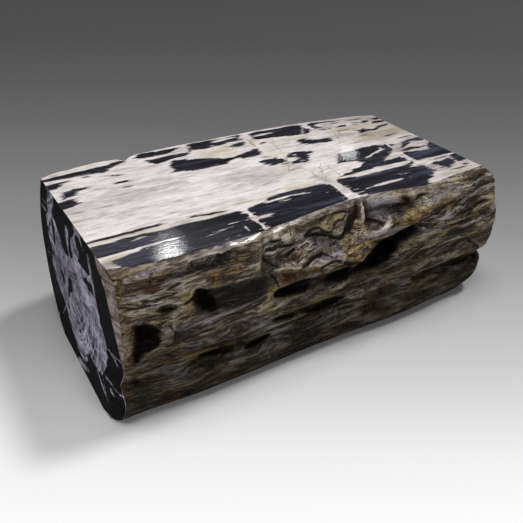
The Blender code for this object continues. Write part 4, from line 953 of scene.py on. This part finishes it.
def stains(points, side):
    """Every marking, with the painted shade and painted highlight of the flank, as a value at each point,
    by name.
    """
    x, y, z = points
    front, back, sawn = side == "front", side == "back", side == "sawn"
    marks = {name: np.zeros(x.shape) for name in (*FLANK_STAINS_SHADE_AND_SHEEN, "fray")}
    for name in ("ink", "crack", "pit", "seam", "crest"):
        marks[name] = np.full(x.shape, OUTSIDE)
    # Each side's markings run on a little past its edges, so that they stay sharp right up to them.
    top = (side == "top") | ((front | back) & (z > -SPILL))
    marks["ink"][top] = top_ink(x[top], y[top])
    ahead, behind = top_ink(x[top] + FRAY_SPAN, y[top]), top_ink(x[top] - FRAY_SPAN, y[top])
    healed = ramp(-0.003, -0.012, seams(TOP_HEALED, x[top], y[top]))
    marks["fray"][top] = healed * np.clip(np.abs(ahead - behind) / (2 * FRAY_SPAN), 0.0, 1.0)
    marks["ink"][sawn] = end_ink(y[sawn], z[sawn])
    wander = CRACK_WANDER * noise(x[top] * 70.0, y[top] * 70.0, 58)
    marks["crack"][top] = seams(TOP_CRACKS, x[top] + wander, y[top] - wander)
    top = side == "top"
    marks["ochre"][top] = soft(TOP_OCHRE, x[top], y[top])
    marks["lavender"][top] = soft(TOP_GREY, x[top], y[top])
    marks["pit"][front] = flank_pits(x[front], z[front])
    marks["seam"][front] = seams(FLANK_SEAMS, x[front], z[front])
    marks["crest"][front] = seams(FLANK_CRESTS, x[front], z[front])
    for name, table in FLANK_STAINS_SHADE_AND_SHEEN.items():
        marks[name][front] = soft(table, x[front], z[front])
    marks["ochre"][back] = soft(BACK_OCHRE, x[back], z[back])
    marks["rust"][back] = soft(BACK_RUST, x[back], z[back])
    marks["grain"] = grain_lines(x, z)
    marks["cross_cut"] = sawn.astype(float)
    rind = inside(END_RIND, y[sawn], z[sawn])
    marks["heartwood"] = (top | sawn).astype(float)
    marks["heartwood"][sawn] = ramp(0.006, -0.006, rind)
    marks["ink"][sawn] = np.minimum(marks["ink"][sawn], -rind)
    marks["ochre"][sawn] = END_STRIP_OCHRE * ramp(-0.004, 0.004, rind)
    return marks


def build_log():
    """The mesh: four-sided faces between the rings, and a fan of triangles at each pole."""
    points, heights, side = log_surface()
    marks = stains(points, side)
    marks["relief"] = heights * 100  # in centimetres
    rings, steps = points.shape[1:]
    number = np.arange(rings * steps).reshape(rings, steps)
    after = np.roll(number, -1, 1)
    quads = np.stack([number[:-1], number[1:], after[1:], after[:-1]], 2).reshape(-1, 4)
    left, right = rings * steps, rings * steps + 1
    fans = np.concatenate([
        np.stack([np.full(steps, left), number[0], after[0]], 1),
        np.stack([np.full(steps, right), after[-1], number[-1]], 1),
    ])  # fmt: skip
    poles = np.array([[sawn_end(*map(np.float64, POLE)), *POLE], [worn_end(*map(np.float64, POLE)), *POLE]])
    places = np.concatenate([points.reshape(3, -1).T, poles]) + (-MIDDLE[0], -MIDDLE[1], HEIGHT)
    low, high = map(np.array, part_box("petrified_log"))
    places = np.clip(places, low, high)

    mesh = bpy.data.meshes.new("polished_log")
    mesh.vertices.add(len(places))
    mesh.vertices.foreach_set("co", places.ravel())
    mesh.loops.add(4 * len(quads) + 3 * len(fans))
    mesh.loops.foreach_set("vertex_index", np.concatenate([quads.ravel(), fans.ravel()]))
    mesh.polygons.add(len(quads) + len(fans))
    starts = np.concatenate([np.arange(len(quads)) * 4, len(quads) * 4 + np.arange(len(fans)) * 3])
    mesh.polygons.foreach_set("loop_start", starts)
    for name, values in marks.items():
        at_poles = [values[0].mean(), values[-1].mean()]
        layer = mesh.attributes.new(name, "FLOAT", "POINT")
        layer.data.foreach_set("value", np.concatenate([values.ravel(), at_poles]))
    mesh.update(calc_edges=True)
    mesh.validate()
    mesh.shade_smooth()
    ends = np.empty(2 * len(mesh.edges), np.int32)
    mesh.edges.foreach_get("vertices", ends)
    ends = ends.reshape(-1, 2)
    ring_at, step_at = ends // steps, ends % steps
    body = (ring_at >= SAWN_END_RINGS - 1) & (ends < rings * steps)
    along = (step_at[:, 0] == step_at[:, 1]) & np.isin(step_at[:, 0], (0, TOP_STEPS)) & body.all(1)
    rim = (ring_at == SAWN_END_RINGS - 1).all(1)
    mesh.attributes.new("sharp_edge", "BOOLEAN", "EDGE").data.foreach_set("value", along | rim)
    log = bpy.data.objects.new("polished_log", mesh)
    bpy.context.scene.collection.objects.link(log)
    return log


# ---------------------------------------------------------------------------------------------------
# The stone's finish: ground and polished like glass on the sawn faces, tumbled and waxed on the flanks.


class Wire:
    """A shader socket that takes part in sums: an operator on it adds a Math node."""

    def __init__(self, finish, socket):
        self.finish, self.socket = finish, socket

    def sum(self, operation, *others):
        sockets = dict(enumerate((self, *others)))
        return self.finish.node("ShaderNodeMath", {"operation": operation}, sockets)

    def __add__(self, other):
        return self.sum("ADD", other)

    def __sub__(self, other):
        return self.sum("SUBTRACT", other)

    def __mul__(self, other):
        return self.sum("MULTIPLY", other)

    def __rsub__(self, other):
        return self.finish.node("ShaderNodeMath", {"operation": "SUBTRACT"}, {0: other, 1: self})

    def __abs__(self):
        return self.sum("ABSOLUTE")

    __radd__, __rmul__ = __add__, __mul__


def shade(red, green, blue):
    """A colour given as it looks on a screen, from 0 to 255, in the linear values that light adds up in."""
    parts = np.array((red, green, blue)) / 255
    linear = np.where(parts <= 0.04045, parts / 12.92, ((parts + 0.055) / 1.055) ** 2.4)
    return tuple(float(v) for v in linear)


def solid(red, green, blue):
    """The same with the fourth number that a colour socket takes."""
    return (*shade(red, green, blue), 1.0)


class Finish:
    """A material's nodes."""

    def __init__(self, name):
        self.material = bpy.data.materials.new(name)
        self.material.use_nodes = True
        self.tree = self.material.node_tree
        self.surface = self.tree.nodes["Principled BSDF"]

    def node(self, kind, settings=None, sockets=None, output=0):
        """Adds a node: its settings first, then the values or wires of its sockets."""
        made = self.tree.nodes.new(kind)
        for name, value in (settings or {}).items():
            if name == "stops":
                ramp_stops = made.color_ramp.elements
                for place, _ in value[2:]:
                    ramp_stops.new(place)
                for stop, (place, colour) in zip(ramp_stops, value):
                    stop.position, stop.color = place, (*colour, 1.0)
            else:
                setattr(made, name, value)
        self.feed(made, sockets or {})
        return Wire(self, made.outputs[output])

    def feed(self, node, sockets):
        """Gives a node's sockets their values or wires."""
        for name, value in sockets.items():
            if isinstance(value, Wire):
                self.tree.links.new(value.socket, node.inputs[name])
            else:
                node.inputs[name].default_value = value

    def marking(self, name):
        """A marking that the mesh carries."""
        return self.node("ShaderNodeAttribute", {"attribute_name": name}, output=2)

    def axes(self, place):
        """The three parts of a vector."""
        parts = self.node("ShaderNodeSeparateXYZ", None, {0: place}).socket.node
        return [Wire(self, part) for part in parts.outputs]

    def vector(self, operation, *sockets, output=0):
        """Vector arithmetic on the values or wires of its sockets, in order."""
        return self.node("ShaderNodeVectorMath", {"operation": operation}, dict(enumerate(sockets)), output)

    def stretched(self, place, scale):
        """Coordinates multiplied by a factor for each axis."""
        return self.vector("MULTIPLY", place, scale)

    def shifted(self, place, by, amount):
        """Coordinates moved by another vector times an amount."""
        moved = self.node("ShaderNodeVectorMath", {"operation": "SCALE"}, {0: by, "Scale": amount})
        return self.vector("ADD", place, moved)

    def cloud(self, place, scale=1.0, detail=4.0, roughness=0.55, distortion=0.0, colour=False):
        """Fractal noise from about 0 to 1."""
        sockets = {"Vector": place, "Scale": scale, "Detail": detail, "Roughness": roughness,
                   "Distortion": distortion}  # fmt: skip
        return self.node("ShaderNodeTexNoise", None, sockets, output=1 if colour else 0)

    def step(self, value, low, high):
        """0 below low and 1 above high, or the other way round where low is the larger."""
        if low > high:
            return 1 - self.step(value, high, low)
        settings = {"interpolation_type": "SMOOTHSTEP", "clamp": True}
        return self.node("ShaderNodeMapRange", settings, {0: value, 1: low, 2: high})

    def blend(self, share, first, second):
        """A colour between two, by share."""
        return self.node("ShaderNodeMix", {"data_type": "RGBA"}, {0: share, 6: first, 7: second}, output=2)

    def darker(self, colour, share):
        """A colour multiplied by a share."""
        settings = {"data_type": "RGBA", "blend_type": "MULTIPLY"}
        grey = self.node("ShaderNodeCombineColor", None, {0: share, 1: share, 2: share})
        return self.node("ShaderNodeMix", settings, {0: 1.0, 6: colour, 7: grey}, output=2)

    def stops(self, value, *stops):
        """A colour from a ramp of (place, colour) stops, the colours as they look on a screen."""
        stops = [(place, shade(*colour)) for place, colour in stops]
        return self.node("ShaderNodeValToRGB", {"stops": stops}, {0: value})


PITH = (0.067, 0.274)  # Y and Z of the trunk's middle on the sawn end
RAYS, RAY_TWIST, RINGS_A_METRE = 6.0, 9.0, 130.0  # how finely the end is rayed and ringed round it
TEARING = 4.2  # how strongly noise tears the edges of the flanks' stains
CHIPPED_CORNER = (-0.546, -0.556), (-0.15, -0.20), (0.08, 0.16)  # X, Y and Z: from no chips to most
RIM = (0.4235, 0.4345)  # Z between which the shoulder turns into the top
QUARTZ_IOR = 1.54
BUMP_STRENGTH, BUMP_DEPTH = 0.6, 0.005


def petrified_wood():
    """The stone's material."""
    f = Finish("petrified_wood")
    place = f.node("ShaderNodeTexCoord", output=3)
    ink, fray, crack, pit = (f.marking(n) for n in ("ink", "fray", "crack", "pit"))
    ochre, lavender, knots, relief = (f.marking(n) for n in ("ochre", "lavender", "knots", "relief"))
    sawn = f.step(f.marking("heartwood"), 0.45, 0.55)
    cross_cut = f.step(f.marking("cross_cut"), 0.3, 0.7)
    east, north, up = f.axes(place)

    # Pale heartwood of the sawn top: clouds and fine lines along the grain.
    broad = f.cloud(f.stretched(place, (5.0, 26.0, 26.0)), detail=7.0, roughness=0.66, distortion=0.6)
    lines = f.cloud(f.stretched(place, (13.0, 120.0, 120.0)), detail=6.0, roughness=0.70)
    threads = f.cloud(f.stretched(place, (34.0, 480.0, 480.0)), detail=2.0, roughness=0.6)
    blotches = f.cloud(f.stretched(place, (22.0, 84.0, 84.0)), detail=6.0, roughness=0.66)
    pale = f.stops(
        broad * 0.30 + lines * 0.36 + blotches * 0.34,
        (0.40, (182, 170, 166)), (0.46, (214, 205, 203)),
        (0.50, (228, 221, 219)), (0.57, (246, 240, 239)),
    )  # fmt: skip
    pale = f.blend(lavender * f.step(broad, 0.65, 0.40), pale, solid(168, 158, 156))
    pale = f.blend(ochre * f.step(lines, 0.35, 0.60), pale, solid(186, 172, 130))
    pale = f.blend(f.step(lines, 0.56, 0.66) * (lavender * 0.5 + 0.28), pale, solid(128, 116, 108))
    pale = f.blend(f.step(threads, 0.58, 0.70) * (lavender * 0.5 + 0.32), pale, solid(106, 95, 88))

    # The sawn end cuts across the grain: a lavender heart, rayed from its pith, then growth rings.
    sway = f.cloud(place, scale=9.0, detail=5.0, colour=True)
    out = f.vector("SUBTRACT", f.shifted(place, sway, 0.05), (0.0, *PITH))
    out = f.stretched(out, (0.0, 1.0, 1.0))
    radius = f.vector("LENGTH", out, output=1)
    facing = f.vector("NORMALIZE", out)
    slow = f.node("ShaderNodeCombineXYZ", None, {0: radius * RAY_TWIST})
    rays = f.cloud(f.vector("MULTIPLY_ADD", facing, (RAYS,) * 3, slow), detail=5.0, roughness=0.65)
    quick = f.node("ShaderNodeCombineXYZ", None, {0: radius * RINGS_A_METRE})
    rings = f.cloud(f.vector("ADD", facing, quick), detail=3.0, roughness=0.6)
    near = f.step(radius, 0.16, 0.06)
    veins = f.cloud(f.stretched(place, (20.0, 14.0, 30.0)), detail=8.0, roughness=0.70, distortion=1.2)
    heart = f.stops(
        veins * 0.42 + rays * (near * 0.30 + 0.20) + rings * (0.38 - near * 0.30),
        (0.41, (38, 35, 46)), (0.455, (94, 90, 104)), (0.50, (140, 135, 152)),
        (0.54, (186, 181, 202)), (0.59, (236, 232, 252)),
    )  # fmt: skip
    heart = f.blend(near * f.step(rays, 0.50, 0.58) * 0.6, heart, solid(96, 82, 74))
    heart = f.blend(f.step(broad, 0.53, 0.60) * 0.6, heart, solid(206, 202, 228))
    strip = f.stops(veins, (0.38, (70, 58, 52)), (0.48, (128, 112, 104)), (0.60, (184, 168, 160)))
    pale = f.darker(pale, 1 - f.step(east, 0.10, 0.50) * 0.16)
    pale = f.blend(cross_cut, pale, heart)

    # Rind of the flanks: brown and grey streaks that part round the knots.
    along = f.node("ShaderNodeCombineXYZ", None, {0: east, 1: north, 2: f.marking("grain")})
    drift = f.cloud(f.stretched(along, (9.0, 9.0, 24.0)), detail=5.0, roughness=0.6, colour=True)
    bent = f.shifted(along, drift, 0.045)
    streaks = f.cloud(f.stretched(bent, (8.0, 30.0, 54.0)), detail=9.0, roughness=0.72, distortion=0.6)
    fibres = f.cloud(f.stretched(bent, (28.0, 130.0, 300.0)), detail=4.0, roughness=0.65)
    curls = f.cloud(f.shifted(place, drift, 0.10), scale=38.0, detail=6.0, roughness=0.62, distortion=1.8)
    patchy = f.cloud(f.stretched(place, (7.0, 7.0, 16.0)), detail=3.0)
    grained = streaks * 0.66 + fibres * 0.34

    def ragged(name, torn_by):
        """A stain's share of a place, torn along a noise."""
        return f.step(f.marking(name) + (torn_by - 0.5) * TEARING, 0.36, 0.76)

    tone = grained * (1 - knots * 0.6) + curls * (knots * 0.6) + (patchy - 0.5) * 0.30
    brown = f.stops(
        tone,
        (0.41, (14, 9, 6)), (0.455, (60, 43, 29)), (0.50, (114, 96, 74)),
        (0.545, (168, 151, 126)), (0.595, (240, 227, 204)),
    )  # fmt: skip
    grey = f.stops(
        tone,
        (0.41, (16, 13, 12)), (0.455, (64, 55, 50)), (0.50, (118, 107, 101)),
        (0.545, (168, 158, 152)), (0.595, (238, 230, 224)),
    )  # fmt: skip
    hue = f.cloud(f.stretched(bent, (7.0, 10.0, 34.0)), detail=4.0, roughness=0.6)
    rind = f.blend(f.step(hue, 0.45, 0.56), brown, grey)
    mauve = f.stops(tone, (0.40, (74, 64, 70)), (0.50, (142, 131, 139)), (0.60, (206, 197, 206)))
    gold = f.stops(
        tone, (0.40, (72, 50, 24)), (0.47, (142, 115, 66)), (0.54, (192, 170, 118)),
        (0.62, (230, 216, 178)),
    )  # fmt: skip
    green = f.stops(tone, (0.40, (62, 56, 30)), (0.50, (142, 134, 86)), (0.60, (196, 188, 142)))
    quartz = f.stops(tone, (0.38, (150, 138, 122)), (0.50, (206, 196, 182)), (0.62, (240, 234, 226)))
    # The crumpled knots break up into lumps of many colours, each with a pale rim and a dark outline.
    crumple = f.shifted(f.stretched(place, (32.0, 32.0, 50.0)), drift, 3.5)
    gap = f.node("ShaderNodeTexVoronoi", {"feature": "DISTANCE_TO_EDGE"}, {"Vector": crumple, "Scale": 1.0})
    lump = f.node("ShaderNodeTexVoronoi", None, {"Vector": crumple, "Scale": 1.0}, output=1)
    lump = f.node("ShaderNodeSeparateColor", None, {0: lump})
    lump = f.stops(
        lump * 0.7 + (curls - 0.35),
        (0.10, (58, 42, 28)), (0.35, (112, 98, 84)), (0.50, (108, 94, 60)),
        (0.66, (150, 128, 94)), (0.90, (206, 186, 144)),
    )  # fmt: skip
    rind = f.blend(knots * 0.72, rind, lump)
    rind = f.blend(knots * f.step(gap, 0.03, 0.08) * f.step(gap, 0.20, 0.12) * 0.55, rind, quartz)
    for name, colour, torn_by, share in (
        ("lavender", mauve, grained, 0.85), ("ochre", gold, curls, 0.90), ("olive", green, grained, 0.62),
        ("light", quartz, grained, 0.66), ("rust", solid(84, 42, 20), curls, 0.85),
    ):  # fmt: skip
        rind = f.blend(ragged(name, torn_by) * share, rind, colour)
    # Thin lines follow the streaks and the curls.
    ridge = abs(f.node("ShaderNodeMath", {"operation": "FRACT"}, {0: streaks * 11.0}) - 0.5)
    rind = f.blend(f.step(ridge, 0.40, 0.48) * 0.45, rind, solid(34, 25, 17))
    rind = f.blend(f.step(ridge, 0.10, 0.03) * 0.30, rind, solid(190, 176, 152))
    rind = f.blend(f.step(fibres, 0.58, 0.68) * 0.55, rind, solid(40, 30, 22))
    rind = f.blend(knots * f.step(gap, 0.06, 0.02) * 0.85, rind, solid(24, 16, 10))
    # Painted shade: the sunken parts of the relief are darkened.
    rind = f.blend(f.step(relief, 0.1, -1.3) * 0.75, rind, solid(20, 15, 11))
    crest = f.step(f.marking("crest") + (curls - 0.5) * 0.014, -0.0016, 0.0010)
    rind = f.blend(crest * 0.62, rind, quartz)
    seam = f.step(f.marking("seam") + (curls - 0.5) * 0.012, -0.0014, 0.0008)
    rind = f.blend(seam * 0.90, rind, solid(24, 14, 8))
    # Painted shade darkens the hollows and furrows, and the pits are filled with near-black.
    dusk = f.step(f.marking("dusk") + (grained - 0.5) * 4.0, 0.10, 1.00)
    rind = f.darker(rind, 1 - dusk * (f.step(tone, 0.56, 0.44) * 0.34 + 0.58))
    pit_black = f.stops(curls, (0.40, (5, 5, 5)), (0.60, (16, 15, 13)), (0.72, (60, 54, 44)))
    hollow = f.step(pit + (grained - 0.5) * 0.065 + (curls - 0.5) * 0.025, -0.008, 0.003)
    rind = f.blend(hollow * 0.97, rind, pit_black)
    # Chipped bark shows at the front corner of the sawn end, and the shoulder under the top is paler.
    chips = f.stops(
        curls * 0.7 + blotches * 0.3,
        (0.42, (34, 22, 14)), (0.48, (104, 72, 42)), (0.53, (176, 154, 120)), (0.60, (222, 208, 186)),
    )  # fmt: skip
    chipped_x, chipped_y, chipped_z = CHIPPED_CORNER
    corner = f.step(east + (curls - 0.5) * 0.05, *chipped_x)
    corner = corner * f.step(up, *chipped_z) * f.step(north, *chipped_y)
    rind = f.blend(corner * 0.75, rind, chips)
    rim = f.step(up, *RIM)
    rim_tone = f.blend(f.step(grained, 0.46, 0.54), solid(134, 118, 100), solid(190, 180, 168))
    rind = f.blend(rim * 0.50, rind, rim_tone)
    # Painted shade: the flanks grow darker towards the foot, and more earthy there. The polished sheen
    # spots get a faint painted highlight.
    painted_foot_shade = f.step(up, -0.02, 0.42) * 0.44 + 0.07 + knots * 0.28
    rind = f.darker(rind, painted_foot_shade * (f.step(grained, 0.45, 0.56) * 0.60 + 0.68))
    earth = f.step(up, 0.36, 0.16) * f.step(curls, 0.50, 0.58) * (1 - hollow)
    rind = f.blend(earth * 0.16, rind, solid(104, 76, 34))
    sheen = f.step(f.marking("sheen"), 0.15, 0.6)
    # Painted highlight: the sheen spots are lightened towards white.
    rind = f.blend(sheen * 0.12, rind, solid(236, 230, 226))
    rind = f.blend(cross_cut, rind, strip)

    # Black silica, faintly clouded with blue-grey, and its ragged edge, torn out along the grain.
    fringe = f.cloud(f.stretched(place, (16.0, 300.0, 180.0)), detail=5.0, roughness=0.72)
    needles = f.cloud(f.stretched(place, (11.0, 210.0, 210.0)), detail=3.0, roughness=0.6)
    torn = (fringe - 0.5) * (0.006 + 0.070 * fray)
    pricked = f.step(needles, 0.60, 0.68) * (1 - cross_cut) * 0.006
    edge = ink + torn - pricked
    black = f.stops(
        f.cloud(f.stretched(place, (6.0, 56.0, 56.0)), detail=8.0, roughness=0.72) + lavender * 0.07,
        (0.38, (24, 23, 28)), (0.54, (42, 42, 50)), (0.68, (72, 75, 92)),
    )  # fmt: skip
    black = f.blend(cross_cut * 0.8, black, solid(17, 17, 16))
    colour = f.blend(f.step(edge, -0.0042, -0.0004) * 0.40, pale, solid(122, 108, 96))
    colour = f.blend(f.step(edge, -0.0007, 0.0007), colour, black)
    hairline = f.step(crack + (blotches - 0.5) * 0.006, -0.0026, 0.0006)
    colour = f.blend(hairline * 0.85, colour, solid(96, 80, 60))
    colour = f.blend(sawn, rind, colour)

    # Wear has left the natural faces uneven, while the top is only faintly rippled.
    worn = (streaks * 0.9 + fibres * 0.45 + curls * 0.6) * (1 - sawn) * (1 - sheen * 0.8)
    bump_height = worn + lines * (0.045 - f.step(east, -0.1, 0.1) * 0.025) + blotches * 0.02
    bump = {"Strength": BUMP_STRENGTH, "Distance": BUMP_DEPTH, "Height": bump_height}
    bump = f.node("ShaderNodeBump", None, bump)
    gloss = f.cloud(f.stretched(place, (12.0, 60.0, 60.0)), detail=4.0)
    rough = (0.02 + 0.04 * gloss) * sawn + (1 - sawn) * (0.06 + 0.30 * streaks * (1 - sheen))
    f.feed(f.surface, {"Base Color": colour, "Roughness": rough, "IOR": QUARTZ_IOR, "Normal": bump})
    # Only the sawn top has its full polish: a second, matt surface takes most of the end and the flanks.
    matt = f.node("ShaderNodeBsdfPrincipled", None, {
        "Base Color": colour, "Roughness": 0.6, "Specular IOR Level": 0.0, "Normal": bump,
    })  # fmt: skip
    shoulder = rim * 0.14 + 0.16
    skin = (shoulder + sheen * 0.8) * (1 - hollow * 0.9)
    polish = sawn * (1 - cross_cut * 0.94) + (1 - sawn) * skin
    mixed = f.node("ShaderNodeMixShader", None, {0: polish, 1: matt, 2: Wire(f, f.surface.outputs[0])})
    f.feed(f.tree.nodes["Material Output"], {"Surface": mixed})
    return f.material


log = build_log()
log.data.materials.append(petrified_wood())
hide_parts("petrified_log")
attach(log, "root")

# ---------------------------------------------------------------------------------------------------
# The studio floor: plain pale paper with a painted light falloff, white in front and grey at the back.
FLOOR_HALF = 14.0
FLOOR_TURN = np.radians(30.42)  # the direction of the painted falloff, from +Y towards +X
FLOOR_PAINTED_FALLOFF = (  # (metres in that direction, painted brightness)
    (-0.80, 0.95), (-0.62, 0.848), (-0.46, 0.697), (-0.30, 0.575), (-0.12, 0.479), (0.12, 0.372),
    (0.45, 0.268), (0.90, 0.196), (1.50, 0.145), (2.40, 0.116), (3.60, 0.106), (6.20, 0.136),
)  # fmt: skip
SIDEWAYS_SLOPE, SIDEWAYS_DISHING = -0.03, 0.015  # the painted falloff across that direction
floor_mesh = bpy.data.meshes.new("floor")
floor_mesh.from_pydata(
    [(-FLOOR_HALF, -FLOOR_HALF, 0), (FLOOR_HALF, -FLOOR_HALF, 0), (FLOOR_HALF, FLOOR_HALF, 0),
     (-FLOOR_HALF, FLOOR_HALF, 0)], [], [(0, 1, 2, 3)],
)  # fmt: skip
floor = bpy.data.objects.new("floor", floor_mesh)
bpy.context.scene.collection.objects.link(floor)
paper = Finish("paper_with_painted_falloff")
east, north, _ = paper.axes(paper.node("ShaderNodeTexCoord", output=3))
away = east * np.sin(FLOOR_TURN) + north * np.cos(FLOOR_TURN)
across = east * np.cos(FLOOR_TURN) - north * np.sin(FLOOR_TURN)
first, last = FLOOR_PAINTED_FALLOFF[0][0], FLOOR_PAINTED_FALLOFF[-1][0]
falloff_stops = [((place - first) / (last - first), (pale,) * 3) for place, pale in FLOOR_PAINTED_FALLOFF]
tone = paper.node("ShaderNodeValToRGB", {"stops": falloff_stops}, {0: (away - first) * (1 / (last - first))})
tone = paper.darker(tone, across * SIDEWAYS_SLOPE + across * across * SIDEWAYS_DISHING + 1)
paper.feed(paper.surface, {"Base Color": tone, "Roughness": 0.9, "Specular IOR Level": 0.0})
floor_mesh.materials.append(paper.material)

# ---------------------------------------------------------------------------------------------------
# Studio lamps: a broad soft box overhead, a key lamp at the right and a weak one in front. The polished top
# mirrors three more, far behind: two small bright ones and a wide dim one.
LOG_MIDDLE = (0.0, 0.0, 0.1)
LEFT_GLINT, RIGHT_GLINT = (-0.43, -0.26, 0.438), (0.20, -0.02, 0.438)  # where the top mirrors them
WORLD_GREY, WORLD_STRENGTH = (0.5, 0.5, 0.5, 1.0), 0.06


def lamp(name, place, aim, width, height, watts):
    """An oval area lamp at a place, facing another."""
    light = bpy.data.lights.new(name, "AREA")
    light.shape, light.size, light.size_y, light.energy = "ELLIPSE", width, height, watts
    holder = bpy.data.objects.new(name, light)
    turn = (Vector(aim) - Vector(place)).to_track_quat("-Z", "Y")
    holder.matrix_world = Matrix.Translation(place) @ turn.to_matrix().to_4x4()
    bpy.context.scene.collection.objects.link(holder)


lamp("overhead_lamp", (-1.0, -0.4, 8.0), (0.0, 0.0, 0.0), 4.0, 4.0, 310)
lamp("key_lamp", (5.0, -0.5, 10.5), LOG_MIDDLE, 2.0, 2.0, 640)
lamp("fill_lamp", (1.5, -6.0, 4.0), LOG_MIDDLE, 3.0, 3.0, 118)
lamp("far_lamp_left", (0.650, 2.86, 2.57), LEFT_GLINT, 0.22, 0.050, 1.8)
lamp("far_glow", (0.66, 2.93, 2.56), LEFT_GLINT, 1.60, 0.50, 0.50)
lamp("far_lamp_right", (2.585, 2.83, 1.95), RIGHT_GLINT, 0.18, 0.016, 0.17)

world = bpy.data.worlds.new("studio")
world.use_nodes = True
backdrop = world.node_tree.nodes["Background"]
backdrop.inputs["Color"].default_value = WORLD_GREY
backdrop.inputs["Strength"].default_value = WORLD_STRENGTH
bpy.context.scene.world = world
bpy.context.scene.view_settings.view_transform = "Standard"

# ---------------------------------------------------------------------------------------------------
# The camera stands at the front left, a little above a person's waist, and looks down on the log.
CAMERA_PLACE = (-0.186 - MIDDLE[0], -0.909 - MIDDLE[1], 0.609 + HEIGHT)
CAMERA_PITCH, CAMERA_YAW, CAMERA_ROLL = np.radians((33.76, 30.42, -1.10))
FRAME_PIXELS, FOCAL_PIXELS, SENSOR = 523, 545.0, 36.0

camera = bpy.data.objects.new("camera", bpy.data.cameras.new("camera"))
camera.data.sensor_width = SENSOR
camera.data.lens = SENSOR * FOCAL_PIXELS / FRAME_PIXELS
camera.matrix_world = (
    Matrix.Translation(CAMERA_PLACE)
    @ Matrix.Rotation(-CAMERA_YAW, 4, "Z")
    @ Matrix.Rotation(np.pi / 2 - CAMERA_PITCH, 4, "X")
    @ Matrix.Rotation(-CAMERA_ROLL, 4, "Z")
)
bpy.context.scene.collection.objects.link(camera)
bpy.context.scene.camera = camera
